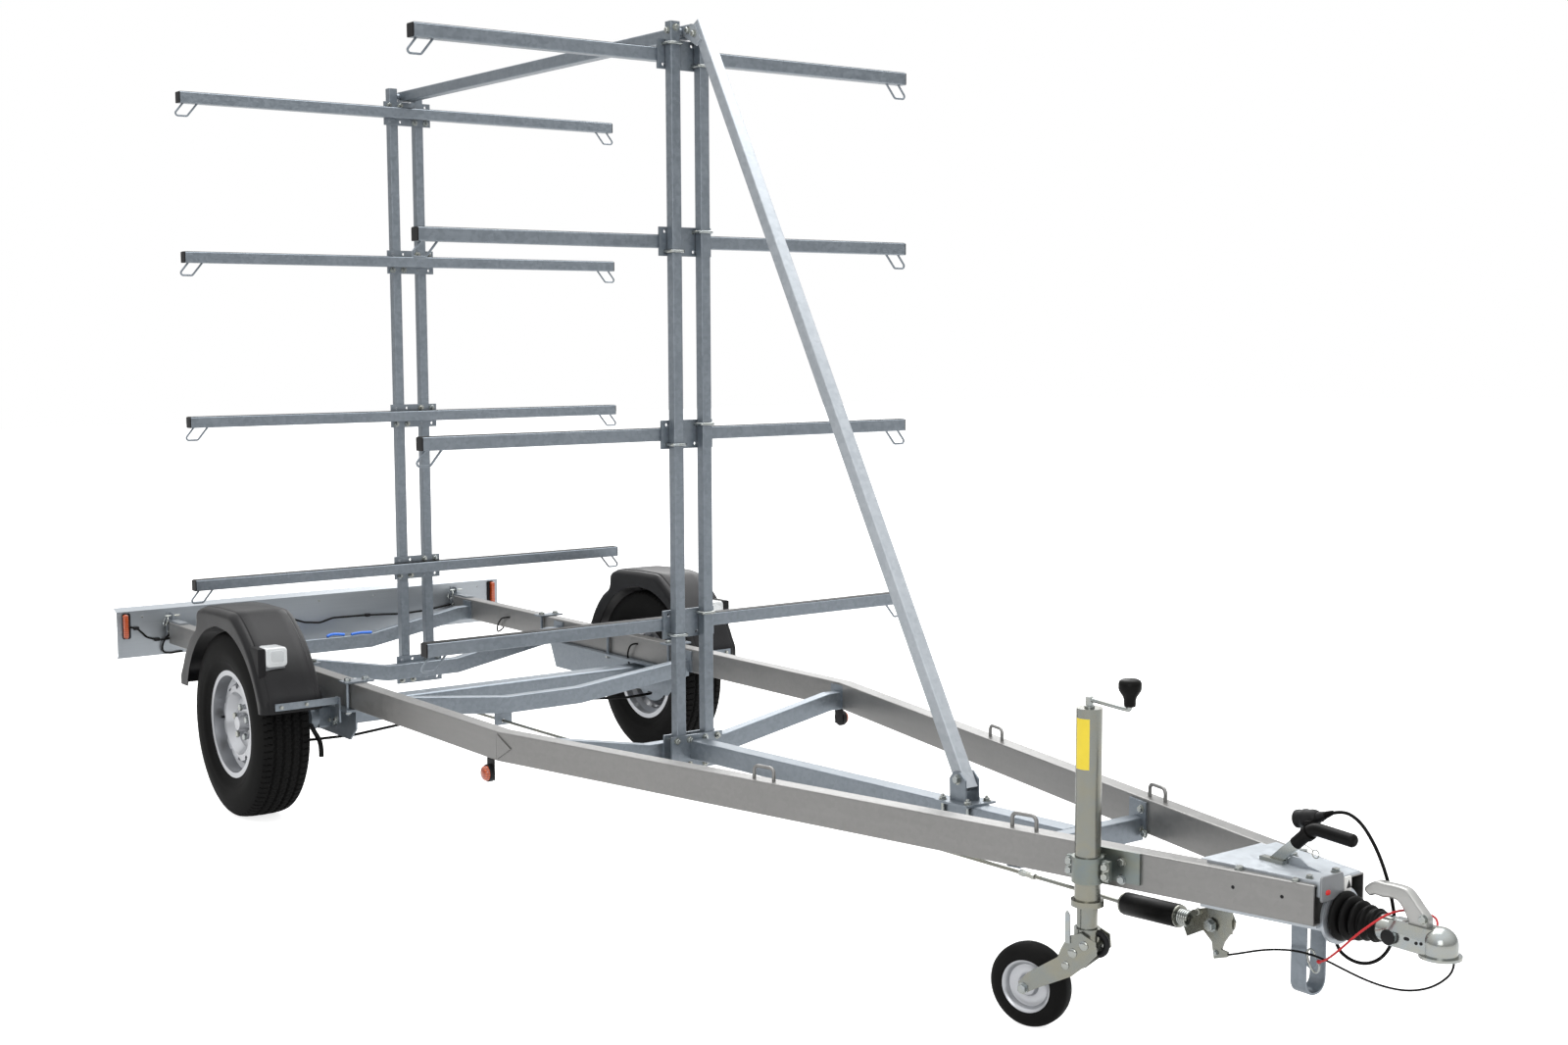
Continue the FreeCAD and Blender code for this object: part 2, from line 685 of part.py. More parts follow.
def makeRim():
    centre = -wheelTrackHalf
    half = rimWidth / 2
    lip = rimLipRadius
    seat = rimSeatRadius
    well = seat - 17
    t = rimWall
    barrel = revolved([(-half, lip), (-half + t, lip), (-half + t, seat), (-28, seat), (-18, well), (34, well),
                       (46, seat), (half - t, seat), (half - t, lip), (half, lip), (half, seat - t),
                       (48, seat - t), (36, well - t), (-20, well - t), (-30, seat - t), (-half, seat - t)], centre)
    face = -rimOffset
    disc = revolved([(face + 8, 34), (face + 8, 88), (face - 22, 112), (face - 20, 134), (face + 20, well - 2),
                     (face + 20 + t, well - 2), (face - 14, 132), (face - 16, 114), (face + 14, 90), (face + 14, 34)],
                    centre)
    hub = revolved([(face + 14, stubRadius + runningGap), (face + 14, hubRadius), (face + 22, drumRadius),
                    (face + drumDepth - 2, drumRadius), (face + drumDepth - 2, drumRadius - 8),
                    (face + 30, drumRadius - 8), (face + 30, stubRadius + runningGap)], centre)
    cap = revolved([(face - 24, 0), (face - 24, 24), (face + 4, 32), (face + 15, 33.9), (face + 15, 24),
                    (face - 16, 20), (face - 16, 0)], centre)
    whole = fuse([barrel, disc, hub, cap])
    for i in range(ventCount):
        angle = math.radians(i * 360 / ventCount)
        x, z = 136 * math.sin(angle), 136 * math.cos(angle)
        hole = rod((x, centre + face - 40, tyreRadius + z), (x, centre + face + 17, tyreRadius + z), ventRadius)
        whole = whole.cut(hole)
    for i in range(boltCount):
        angle = math.radians(i * 360 / boltCount)
        x, z = boltCircleRadius * math.sin(angle), boltCircleRadius * math.cos(angle)
        bolt = rod((x, centre + face - 6, tyreRadius + z), (x, centre + face + 10, tyreRadius + z), boltHoleRadius + 2)
        whole = whole.fuse(bolt)
    return whole.removeSplitter()


def offsetOutline(points, distance):
    # open outline moved sideways, to its right as it runs
    moved = []
    for i, (x, z) in enumerate(points):
        before = points[max(i - 1, 0)]
        after = points[min(i + 1, len(points) - 1)]
        inX, inZ = (x - before[0], z - before[1]) if i else (after[0] - x, after[1] - z)
        outX, outZ = (after[0] - x, after[1] - z) if i < len(points) - 1 else (inX, inZ)
        inL, outL = math.hypot(inX, inZ), math.hypot(outX, outZ)
        n1 = (inZ / inL, -inX / inL)
        n2 = (outZ / outL, -outX / outL)
        bx, bz = n1[0] + n2[0], n1[1] + n2[1]
        scale = distance / ((bx * n1[0] + bz * n1[1]) or 1)
        moved.append((x + bx * scale, z + bz * scale))
    return moved


def band(outer, inner, y0, y1):
    points = [V(x, y0, z) for x, z in outer] + [V(x, y0, z) for x, z in reversed(inner)]
    return prism(points, V(0, y1 - y0, 0))


def guardOutline():
    points = []
    for bearing, gap in guardLine:
        angle, reach = math.radians(bearing), tyreRadius + gap
        points.append((reach * math.sin(angle), tyreRadius + reach * math.cos(angle)))
    return points


def guardBody(wall):
    # crown with bevelled shoulders and flat sides, lofted between outlines that step inwards
    points = guardOutline()
    steps = [(guardShoulder, 0.0), (guardShoulder * 0.3, guardShoulder * 0.3), (0.0, guardShoulder)]
    sections = [(inset, -guardOuter + across + wall) for inset, across in steps]
    sections += [(inset, -guardInner - across - wall) for inset, across in reversed(steps)]
    wires = []
    for inset, y in sections:
        outline = offsetOutline(points, inset + wall)
        wires.append(Part.makePolygon([V(x, y, z) for x, z in outline + [outline[0]]]))
    return Part.makeLoft(wires, True, True)


def makeMudguard():
    # hollow moulded arch: raised crown band, and a round wheel opening through both sides
    points = guardOutline()
    whole = guardBody(0.0).cut(guardBody(guardWall))
    crown = band(offsetOutline(points, -guardCrownRise), offsetOutline(points, 1.0),
                 -guardOuter + guardShoulder + 2, -guardInner - guardShoulder - 2)
    whole = whole.fuse(crown)
    opening = rod((archForward, -guardOuter - 1, tyreRadius), (archForward, -guardInner + 1, tyreRadius),
                  tyreRadius + archGap)
    below = box(-900, 900, -guardOuter - 1, -guardInner + 1, 0, guardBottom)
    return whole.cut(opening).cut(below).removeSplitter()


def makeLightBoard():
    # folded sheet with a sloped top flange, on two straps that lie on the rails' ends
    t = boardSheet
    low = boardTop - boardHeight
    profile = [(0, low), (0, boardTop), (-boardFlange, boardTop + boardFlangeRise),
               (-boardFlange, boardTop + boardFlangeRise - t - 0.6), (-t, boardTop - t), (-t, low + t),
               (-22, low + t), (-22, low)]
    sheet = prism([V(boardX + x, -boardHalf, z) for x, z in profile], V(0, 2 * boardHalf, 0))
    pieces = [sheet]
    for side in (-1, 1):
        y = side * (railOuterHalf - railWidth / 2)
        pieces.append(box(boardX - 1, railRearX + 110, y - strapHalf, y + strapHalf, railTop, railTop + 7))
        pieces.append(box(boardX - 1, boardX + 6, y - strapHalf, y + strapHalf, railTop - 70, railTop + 38))
        pieces.append(box(boardX + 5, boardX + 34, y - 3, y + 3, railTop + 6, railTop + 34))
    return fuse(pieces)


def makeRearLamp():
    y0, y1 = -boardHalf + 26, -boardHalf + 26 + rearLampLength
    z0 = boardTop - 26 - rearLampHeight
    body = box(boardX - boardSheet - rearLampDepth, boardX - boardSheet, y0, y1, z0, z0 + rearLampHeight)
    edges = [e for e in body.Edges if e.BoundBox.XMax < boardX - rearLampDepth + 5]
    return body.makeFillet(9.0, edges)


def makeSideLamp():
    # amber marker that stands on the board's front face near its end
    z1 = boardTop - 8
    body = box(boardX, boardX + sideLampDepth, -boardHalf + 24, -boardHalf + 44, z1 - 104, z1)
    edges = [e for e in body.Edges if e.BoundBox.XMin > boardX + 1]
    return body.makeFillet(6.0, edges)


def makePositionLamp():
    # upright lens with a holder block on its outer side, on the mudguard's front slope
    bearing, reach = math.radians(positionLampBearing), tyreRadius + positionLampGap
    front, middle = reach * math.sin(bearing), tyreRadius + reach * math.cos(bearing)
    y0 = -guardOuter + positionLampInset
    y1 = y0 + lampHolderWidth
    y2 = y1 + positionLampWidth
    half = positionLampHeight / 2
    rear = front - 95
    lens = box(rear, front, y1, y2, middle - half, middle + half)
    corner = [e for e in lens.Edges if e.BoundBox.XLength > 90]
    lens = lens.makeFillet(14.0, corner)
    rim = [e for e in lens.Edges if e.BoundBox.XMin > front - 0.5]
    lens = lens.makeFillet(5.0, rim)
    base = box(rear, front - 14, y1 - 1, y2 - 6, middle - half - 18, middle)
    holder = box(rear, front, y0, y1, middle - half - 28, middle + half)
    filled = guardBody(0.0).fuse(band(offsetOutline(guardOutline(), -guardCrownRise), guardOutline(),
                                      -guardOuter, -guardInner))
    whole = fuse([lens, base, holder]).cut(filled)
    return max(whole.Solids, key=lambda solid: solid.Volume)


def makeWiring():
    # lamp cable along the front of the light board, sagging a little between its clips
    x = boardX + wiringRadius
    middle = boardTop - 110
    reach = railOuterHalf - railWidth / 2 - strapHalf - wiringClear
    clips = [(-1, 12), (-0.875, 0), (-0.656, 4), (-0.438, -2), (-0.214, 18), (-0.109, -6), (0, -14), (0.097, 2),
             (0.353, 0), (0.616, -10), (0.812, -4), (1, 12)]
    points = [V(x, share * reach, middle + rise) for share, rise in clips]
    path = roundedPath(points, 60.0)
    profile = Part.Wire([Part.Circle(points[0], points[1] - points[0], wiringRadius).toShape()])
    return path.makePipeShell([profile], True, True)


def makeMarker():
    # round amber lamp on a bent strip under the rail
    z = railBottom - markerDrop
    y = -railOuterHalf + 8
    lens = rod((markerX, y, z), (markerX, y - markerThick, z), markerRadius)
    lens = lens.makeChamfer(4.0, [e for e in lens.Edges if e.BoundBox.YMax < y - markerThick + 1])
    strip = box(markerX - 22, markerX + 22, y - 1, y + 3, z - 20, railBottom - 3)
    foot = box(markerX - 22, markerX + 22, y - 1, y + 28, railBottom - 4, railBottom)
    return fuse([lens, strip, foot])


jockeyCentre = (jockeyX + math.sin(railAngle) * jockeyStandOff,
                -railOuterAt(jockeyX) - math.cos(railAngle) * jockeyStandOff)


def makeJockeyTube():
    x, y = jockeyCentre
    outer = rod((x, y, jockeyTubeBottom), (x, y, jockeyTubeTop), jockeyTubeRadius)
    collar = rod((x, y, jockeyTubeBottom), (x, y, jockeyTubeBottom + collarHeight), collarRadius)
    bore = rod((x, y, jockeyTubeBottom - 1), (x, y, jockeyTubeTop - 12), jockeyInnerRadius + runningGap)
    return fuse([outer, collar]).cut(bore)


def makeJockeyClamp():
    # half shells round the tube, on a plate bolted to the rail's outer face
    x, y = jockeyCentre
    gap = jockeyStandOff
    plate = box(-26, 112, gap - 8, gap, railBottom + 16, railTop)
    shell = Part.makeCylinder(jockeyTubeRadius + 7, 60, V(0, 0, railBottom + 16))
    block = box(-26, 26, 12, gap, railBottom + 16, railBottom + 76)
    ears = box(-56, 56, -2, 12, railBottom + 22, railBottom + 70)
    whole = fuse([plate, shell, block, ears])
    whole = whole.cut(Part.makeCylinder(jockeyTubeRadius, 200, V(0, 0, railBottom - 40)))
    whole.rotate(V(0, 0, 0), V(0, 0, 1), math.degrees(railAngle))
    whole.translate(V(x, y, 0))
    return whole


def makeCrank():
    x, y = jockeyCentre
    hub = rod((x, y, jockeyTubeTop), (x, y, crankZ + 8), 9.0)
    arm = rod((x, y, crankZ), (x + crankReach, y, crankZ), 5.5)
    stem = rod((x + crankReach, y, crankZ - 6), (x + crankReach, y, crankZ + 34), 7.0)
    top = crankZ + 24 + knobHeight
    knob = rod((x + crankReach, y, top - 18), (x + crankReach, y, top), knobRadius)
    knob = knob.makeFillet(8.0, [e for e in knob.Edges if e.BoundBox.ZLength < 1])
    neck = Part.makeCone(knobRadius * 0.5, knobRadius * 0.8, knobHeight - 16, V(x + crankReach, y, top - knobHeight))
    return fuse([hub, arm, stem, neck, knob])


def makeInnerTube():
    x, y = jockeyCentre
    outer = rod((x, y, jockeyInnerBottom), (x, y, jockeyTubeTop - 90), jockeyInnerRadius)
    bore = rod((x, y, jockeyInnerBottom + 12), (x, y, jockeyTubeTop), jockeyInnerRadius - 3.5)
    return outer.cut(bore)


def jockeyAxleZ():
    # height of the small wheel's axle in the level frame, so that it stands on the ground
    tilt = math.radians(noseDownDegrees)
    x = jockeyCentre[0] - jockeyTrail * math.cos(math.radians(jockeySwivelDegrees))
    return tyreRadius + (jockeyRadius - tyreRadius + x * math.sin(tilt)) / math.cos(tilt)


def swivelled(shape):
    shape.rotate(V(0, 0, 0), V(0, 0, 1), jockeySwivelDegrees)
    shape.translate(V(jockeyCentre[0], jockeyCentre[1], 0))
    return shape


def makeFork():
    z = jockeyAxleZ()
    top = jockeyInnerBottom + 30
    head = rod((0, 0, jockeyInnerBottom - 14), (0, 0, top), jockeyInnerRadius + 6)
    head = head.cut(rod((0, 0, jockeyInnerBottom - 0.5), (0, 0, top + 1), jockeyInnerRadius + runningGap))
    pieces = [head]
    low = jockeyInnerBottom - 40
    for side in (-1, 1):
        y = forkHalf if side > 0 else -forkHalf - forkPlate
        outline = [V(-46, y, top - 49), V(-28, y, top - 16), V(4, y, top - 4), V(40, y, top - 20),
                   V(43, y, top - 50), V(12, y, top - 83), V(-19, y, low - 40), V(-107, y, z + 7),
                   V(-jockeyTrail + 4, y, z - 12), V(-jockeyTrail - 12, y, z - 6), V(-jockeyTrail - 12, y, z + 14),
                   V(-jockeyTrail + 12, y, z + 40), V(-54, y, low)]
        pieces.append(prism(outline, V(0, forkPlate, 0)))
    pieces.append(box(-38, 40, -forkHalf - 1, forkHalf + 1, jockeyInnerBottom - 14, jockeyInnerBottom - 4))
    pieces.append(rod((-jockeyTrail, -forkHalf - 13, z), (-jockeyTrail, forkHalf + 13, z), jockeyAxleRadius))
    return swivelled(fuse(pieces))


def makeJockeyWheel():
    z = jockeyAxleZ()
    half = jockeyTread / 2
    r = jockeyRadius
    profile = [(-half, 62), (-half, r - 22), (-half + 6, r - 8), (-half + 18, r), (half - 18, r), (half - 6, r - 8),
               (half, r - 22), (half, 62), (9, 54), (9, 30), (half - 2, 24), (half - 2, jockeyAxleRadius + runningGap),
               (-half + 2, jockeyAxleRadius + runningGap), (-half + 2, 24), (-9, 30), (-9, 54)]
    points = [V(-jockeyTrail, across, z + radius) for across, radius in profile]
    face = Part.Face(Part.makePolygon(points + [points[0]]))
    wheel = face.revolve(V(-jockeyTrail, 0, z), V(0, 1, 0), 360)
    return swivelled(wheel)


housingBottom = shaftZ - shaftRadius - housingWall


def makeHousing():
    # folded steel housing between the rails' ends, with its front box
    inner = railInnerAt(railFrontX)
    body = prism([V(housingRearX, -railInnerAt(housingRearX), housingBottom),
                  V(railFrontX, -inner, housingBottom), V(railFrontX, inner, housingBottom),
                  V(housingRearX, railInnerAt(housingRearX), housingBottom)], V(0, 0, railTop - housingBottom))
    rear = housingRearX + 30
    half = railOuterAt(rear)
    cover = prism([V(rear, -half + 30, railTop), V(railFrontX, -railFrontHalf + 14, railTop),
                   V(railFrontX, railFrontHalf - 14, railTop), V(rear, half - 30, railTop)], V(0, 0, 6))
    low = railBottom - housingStrip
    strip = prism([V(rear, -half + 10, low), V(railFrontX, -railFrontHalf + 10, low),
                   V(railFrontX, railFrontHalf - 10, low), V(rear, half - 10, low)], V(0, 0, housingStrip))
    frontBox = box(railFrontX, housingFrontX, -77, 28, railTop - 26, railTop + 8)
    collar = rod((railFrontX, 0, shaftZ), (housingFrontX, 0, shaftZ), bellowsRadius + bellowsCollar)
    quadrant = [(3816, railTop + 5), (3864, railTop + 18), (3874, railTop + 25), (3895, railTop + 25),
                (3917, railTop + 13), (3962, railTop + 5)]
    plate = prism([V(x, leverY + 8, z) for x, z in quadrant], V(0, 5, 0))
    whole = fuse([body, cover, strip, frontBox, collar, plate])
    return whole.cut(rod((housingRearX + 60, 0, shaftZ), (housingFrontX + 1, 0, shaftZ), shaftRadius))


def makeBellows():
    # folds of a rubber gaiter, wide at the housing and tapering to the coupling head
    start, end, folds = housingFrontX, bellowsEndX, 5
    points = [V(start, 0, shaftZ + bellowsRadius - 12)]
    pitch = (end - start) / folds
    for i in range(folds):
        x = start + i * pitch
        crest = bellowsRadius - bellowsTaper * (i / (folds - 1)) ** 0.8
        points += [V(x + pitch * 0.3, 0, shaftZ + crest), V(x + pitch * 0.6, 0, shaftZ + crest),
                   V(x + pitch * 0.95, 0, shaftZ + max(crest - 15, shaftRadius + 4))]
    points += [V(end, 0, shaftZ + shaftRadius), V(start, 0, shaftZ + shaftRadius)]
    face = Part.Face(Part.makePolygon(points + [points[0]]))
    return face.revolve(V(0, 0, shaftZ), V(1, 0, 0), 360)


def makeCouplingHead():
    shaft = rod((housingRearX + 60, 0, shaftZ), (bellowsEndX + 60, 0, shaftZ), shaftRadius)
    sleeve = rod((bellowsEndX, 0, shaftZ), (bellowsEndX + 62, 0, shaftZ), 29.0)
    bolt = rod((bellowsEndX + 40, -37, shaftZ - 6), (bellowsEndX + 40, 37, shaftZ - 6), 14.0)
    outer = ballSocketRadius + cupWall
    dome = Part.makeSphere(outer + 2, V(ballX, 0, ballZ + 6))
    dome = dome.common(box(ballX - 60, ballX + 60, -60, 60, ballZ - 12, ballZ + 80))
    skirt = rod((ballX, 0, ballZ - 18), (ballX, 0, ballZ + 6), outer + 2)
    lip = rod((ballX, 0, ballZ - 22), (ballX, 0, ballZ - 16), outer + 10)
    neckRear = [V(bellowsEndX + 30, -29, ballZ - 18), V(bellowsEndX + 30, 29, ballZ - 18),
                V(bellowsEndX + 30, 29, shaftZ + 8), V(bellowsEndX + 30, 18, shaftZ + 27),
                V(bellowsEndX + 30, -18, shaftZ + 27), V(bellowsEndX + 30, -29, shaftZ + 8)]
    neckFront = [V(ballX, -outer, ballZ - 16), V(ballX, outer, ballZ - 16), V(ballX, outer, ballZ + 10),
                 V(ballX, 20, ballZ + 36), V(ballX, -20, ballZ + 36), V(ballX, -outer, ballZ + 10)]
    wires = [Part.makePolygon(p + [p[0]]) for p in (neckRear, neckFront)]
    neck = Part.makeLoft(wires, True, True)
    whole = fuse([sleeve, bolt, dome, skirt, lip, neck, shaft])
    ball = Part.makeSphere(ballSocketRadius, V(ballX, 0, ballZ))
    mouth = rod((ballX, 0, ballZ - 60), (ballX, 0, ballZ), ballSocketRadius)
    return whole.cut(ball).cut(mouth)


def makeCouplingHandle():
    # cast lever that arches back over the coupling from its pivot on the head
    line = [(-38, 28), (-34, 57), (-46, 75), (-61, 92), (-78, 105), (-100, 108), (-131, 107), (-156, 106), (-177, 92),
            (-182, 81), (-169, 71), (-155, 76), (-135, 75), (-113, 78), (-99, 75), (-86, 63), (-74, 43), (-66, 28)]
    outline = [V(ballX + x, -13, ballZ + z) for x, z in line]
    return prism(outline, V(0, 26, 0)).cut(makeCouplingHead())


def makeHandbrake():
    # flat lever that leans forward from the housing
    y = leverY
    cover = railTop + 6
    line = [(3815, 1), (3852, 1), (3905, 49), (3914, 57), (3893, 74), (3873, 55)]
    lever = prism([V(x, y - 4, cover + rise) for x, rise in line], V(0, 8, 0))
    foot = box(3800, 3864, y - 12, y + 7, cover, cover + 8)
    return fuse([lever, foot])


def makeGrip():
    # rubber grip that bends forward, closed over the lever's end
    y = leverY
    cover = railTop + 6
    points = [V(gripFootX, y, cover + 53), V(gripBendX, y, cover + 96), V(gripEndX, y, cover + 89)]
    path = roundedPath(points, 46.0)
    profile = Part.Wire([Part.Circle(points[0], points[1] - points[0], gripRadius).toShape()])
    grip = path.makePipeShell([profile], True, True)
    end = [e for e in grip.Edges if e.BoundBox.XMin > points[-1].x - 5]
    return grip.makeFillet(gripRadius * 0.7, end)


def makeLinkage():
    # reversing plate that hangs from the housing and pulls the brake rod
    y = linkageY - linkageThick / 2
    outline = [(3640, 372), (3680, 386), (3752, 394), (3765, 372), (3762, 356), (3734, 318), (3727, 300), (3746, 298),
               (3744, 286), (3706, 273), (3699, 312), (3674, 332), (3626, 306), (3616, 326)]
    plate = prism([V(x, y, z) for x, z in outline], V(0, linkageThick, 0))
    hanger = box(3690, 3760, y - 5, y, 344, housingBottom)
    tie = box(3690, 3760, y - 5, y + 40, housingBottom - 6, housingBottom)
    pin = rod((3704, y - 10, 353), (3704, y + linkageThick + 10, 353), 12.0)
    return fuse([plate, hanger, tie, pin])


def makeBrakeRod():
    # rod from the reversing plate back to the axle, with its spring canister
    front, canisterFront, canisterRear = (3630, linkageY, 349), (3604, linkageY, 347), (3430, linkageY, 337)
    axleFront = axleTubeX + axleTubeSize / 2
    z = tyreRadius - 1
    end = (axleFront + 3, rodGuide[1] - 8, z)
    equaliser = box(axleFront, axleFront + 6, rodGuide[1] - 40, rodGuide[1] + 40, z - 10, z + 14)
    return fuse([rod(canisterFront, front, brakeRodRadius), rod(canisterRear, canisterFront, springRadius),
                 rod(canisterRear, rodGuide, brakeRodRadius), rod(rodGuide, end, brakeRodRadius),
                 Part.makeSphere(brakeRodRadius + 1, V(*rodGuide)), equaliser]).cut(makeLinkage())


hookCentre = (loopX + loopWidth + hookRadius - 1, -loopHalf + 2.5, 326)


def makeLoop():
    # flat bar bent to a U under the housing's front, for the safety rope
    top = housingBottom
    low = railBottom - loopDrop
    outside = roundedPath([V(loopX, -loopHalf, top), V(loopX, -loopHalf, low), V(loopX, loopHalf, low),
                           V(loopX, loopHalf, top)], loopHalf - 3)
    wall = 5.0
    inside = roundedPath([V(loopX, loopHalf - wall, top), V(loopX, loopHalf - wall, low + wall),
                          V(loopX, wall - loopHalf, low + wall), V(loopX, wall - loopHalf, top)], loopHalf - 3 - wall)
    ends = [Part.LineSegment(V(loopX, loopHalf, top), V(loopX, loopHalf - wall, top)).toShape(),
            Part.LineSegment(V(loopX, wall - loopHalf, top), V(loopX, -loopHalf, top)).toShape()]
    wire = Part.Wire(Part.__sortEdges__(outside.Edges + inside.Edges + ends))
    bar = Part.Face(wire).extrude(V(loopWidth, 0, 0))
    ring = Part.makeTorus(hookRadius, hookWire, V(*hookCentre), V(0, 1, 0))
    return fuse([bar, ring])


plugY = leverY + 30.0
plugNeck = (3945, plugY, 643)


def makePlug():
    # round connector parked on the grip, with a strap round both
    body = rod((3868, plugY, 619), (3925, plugY, 633), plugRadius)
    neck = rod((3920, plugY, 631), plugNeck, 12.0)
    strap = rod((gripBendX - 19, leverY, railTop + 84), (gripBendX - 8, leverY, railTop + 93), gripRadius + 3)
    bridge = box(gripBendX - 24, gripBendX - 8, leverY, plugY, railTop + 94, railTop + 112)
    return fuse([body, neck, strap, bridge]).cut(makeGrip())


def cord(points, radius, name):
    # straight runs joined by arcs, each arc as wide as the shorter of its runs allows
    points = [V(*p) for p in points]
    edges = []
    last = points[0]
    length, tightest = 0.0, 1e9
    for a, b, c in zip(points, points[1:], points[2:]):
        into, out = (b - a).normalize(), (c - b).normalize()
        turn = into.getAngle(out)
        bend = 0.45 * min((b - a).Length, (c - b).Length) / math.tan(turn / 2)
        cutBack = bend * math.tan(turn / 2)
        start, end = b - into * cutBack, b + out * cutBack
        middle = b + (out - into).normalize() * (bend / math.cos(turn / 2) - bend)
        edges += [Part.LineSegment(last, start).toShape(), Part.Arc(start, middle, end).toShape()]
        length += (start - last).Length + bend * turn
        tightest = min(tightest, bend)
        last = end
    edges.append(Part.LineSegment(last, points[-1]).toShape())
    length += (points[-1] - last).Length
    profile = Part.Wire([Part.Circle(points[0], points[1] - points[0], radius).toShape()])
    solid = Part.Wire(edges).makePipeShell([profile], True, True)
    ratio = solid.Volume / (math.pi * radius * radius * length)
    print(name, "length %.1f radius %.1f share %.4f" % (length, tightest, ratio))
    return solid


plugCableRoute = [plugNeck, (3986, plugY, 662.7), (4031, 19, 648), (4066, 24, 603), (4090, 30, 549),
                  (4103, 37, 493), (4108, 45, 440), (4104, 45, 392), (4084, 36, 352), (4050, 26, 332),
                  (4012, 20, 334), (3978, 18, 354), (3968, 17, housingBottom)]
breakawayRoute = [(3745.8, -60, 292), (3784, -60, 306), (3824, -59, 322), (3868, -58, 336), (3914, -56, 346),
                  (3958, -52, 349), (4000, -44, 343), (4042, -34, 330), (4086, -25, 319), (4130, -18, 314),
                  (4172, -12, 316), (4208, -8, 326), (4240, -5, 342), (4268, -3, 366), (4283, -2, 388),
                  (4284, -2, ballZ - 22)]
releaseRoute = [(3971, -34, 330), (3995, -49, 340), (4022, -63, 358), (4056, -70, 388), (4090, -69, 424),
                (4118, -60, 452), (4138, -36, 474), (4148, -8, 481), (4158, 18, 481), (4180, 40, 478),
                (4214, 50, 468), (4220, 27.3, 451.3)]


def buildAll():
    nodes = {}
    nodes["rail_right"] = makeRail()
    nodes["rail_left"] = mirrored(makeRail())
    nodes["cross_member_rear"] = crankedMember(rearMemberX)
    nodes["cross_member_rear_posts"] = crankedMember(rearBarX, -1)
    nodes["cross_member_mid_front"] = guidedMember()
    nodes["cross_member_front_posts"] = crankedMember(frontBarX, 1)
    nodes["cross_member_drawbar"] = straightMember()
    nodes["centre_beam"] = makeCentreBeam()
    for place, x in (("front", frontPostX), ("rear", rearPostX)):
        nodes["posts_%s" % place] = Part.makeCompound([post(x, -postHalfSpacing), post(x, postHalfSpacing)])
    for level, top in enumerate(barTops, 1):
        nodes["crossbar_front_%d" % level] = crossbar(frontBarX, 1, top)
        nodes["crossbar_rear_%d" % level] = crossbar(rearBarX, -1, top)
    nodes["top_beam"] = makeTopBeam()
    nodes["brace"] = makeBrace()
    nodes["brace_foot"] = makeBraceFoot()
    nodes["axle_beam"] = makeAxleBeam()
    nodes["light_board"] = makeLightBoard()
    arm = makeArm()
    nodes["axle_arms"] = Part.makeCompound([arm, mirrored(arm)])
    nodes["guard_stays"] = makeStays()
    for name, make in (("axle_bracket", makeBracket), ("tyre", makeTyre), ("rim", makeRim),
                       ("mudguard", makeMudguard)):
        nodes[name + "_right"] = make()
        nodes[name + "_left"] = mirrored(make())
    for name, make in (("rear_lamps", makeRearLamp), ("side_lamps", makeSideLamp),
                       ("position_lamps", makePositionLamp), ("rail_markers", makeMarker)):
        lamp = make()
        nodes[name] = Part.makeCompound([lamp, mirrored(lamp)])
    nodes["jockey_outer_tube"] = makeJockeyTube()
    nodes["jockey_clamp"] = makeJockeyClamp()
    nodes["jockey_crank"] = makeCrank()
    nodes["jockey_inner_tube"] = makeInnerTube()
    nodes["jockey_fork"] = makeFork()
    nodes["jockey_wheel"] = makeJockeyWheel()
    nodes["coupling_housing"] = makeHousing()
    nodes["coupling_bellows"] = makeBellows()
    nodes["coupling_head"] = makeCouplingHead()
    nodes["coupling_handle"] = makeCouplingHandle()
    grip = makeGrip()
    nodes["handbrake_lever"] = makeHandbrake()
    nodes["handbrake_grip"] = grip.cut(nodes["handbrake_lever"])
    nodes["brake_linkage"] = makeLinkage()
    nodes["brake_rod"] = makeBrakeRod()
    nodes["safety_loop"] = makeLoop()
    nodes["plug"] = makePlug()
    cable = brakeCable()
    nodes["brake_cables"] = Part.makeCompound([cable, mirrored(cable)])
    nodes["wiring"] = makeWiring()
    nodes["plug_cable"] = cord(plugCableRoute, plugCableRadius, "plug_cable")
    nodes["breakaway_cable"] = cord(breakawayRoute, breakawayRadius, "breakaway_cable")
    nodes["release_cord"] = cord(releaseRoute, releaseCordRadius, "release_cord")
    return nodes


def stand(nodes):
    # tips the level trailer onto its jockey wheel and puts the origin under its middle
    for shape in nodes.values():
        shape.rotate(V(0, 0, tyreRadius), V(0, 1, 0), noseDownDegrees)
    bounds = FreeCAD.BoundBox()
    for shape in nodes.values():
        bounds.add(shape.BoundBox)
    shift = -(bounds.XMin + bounds.XMax) / 2
    for shape in nodes.values():
        shape.translate(V(shift, 0, 0))
    return shift


def placed(x, y, z, shift):
    tilt = math.radians(noseDownDegrees)
    dz = z - tyreRadius
    return (x * math.cos(tilt) + dz * math.sin(tilt) + shift, y, tyreRadius + dz * math.cos(tilt) - x * math.sin(tilt))


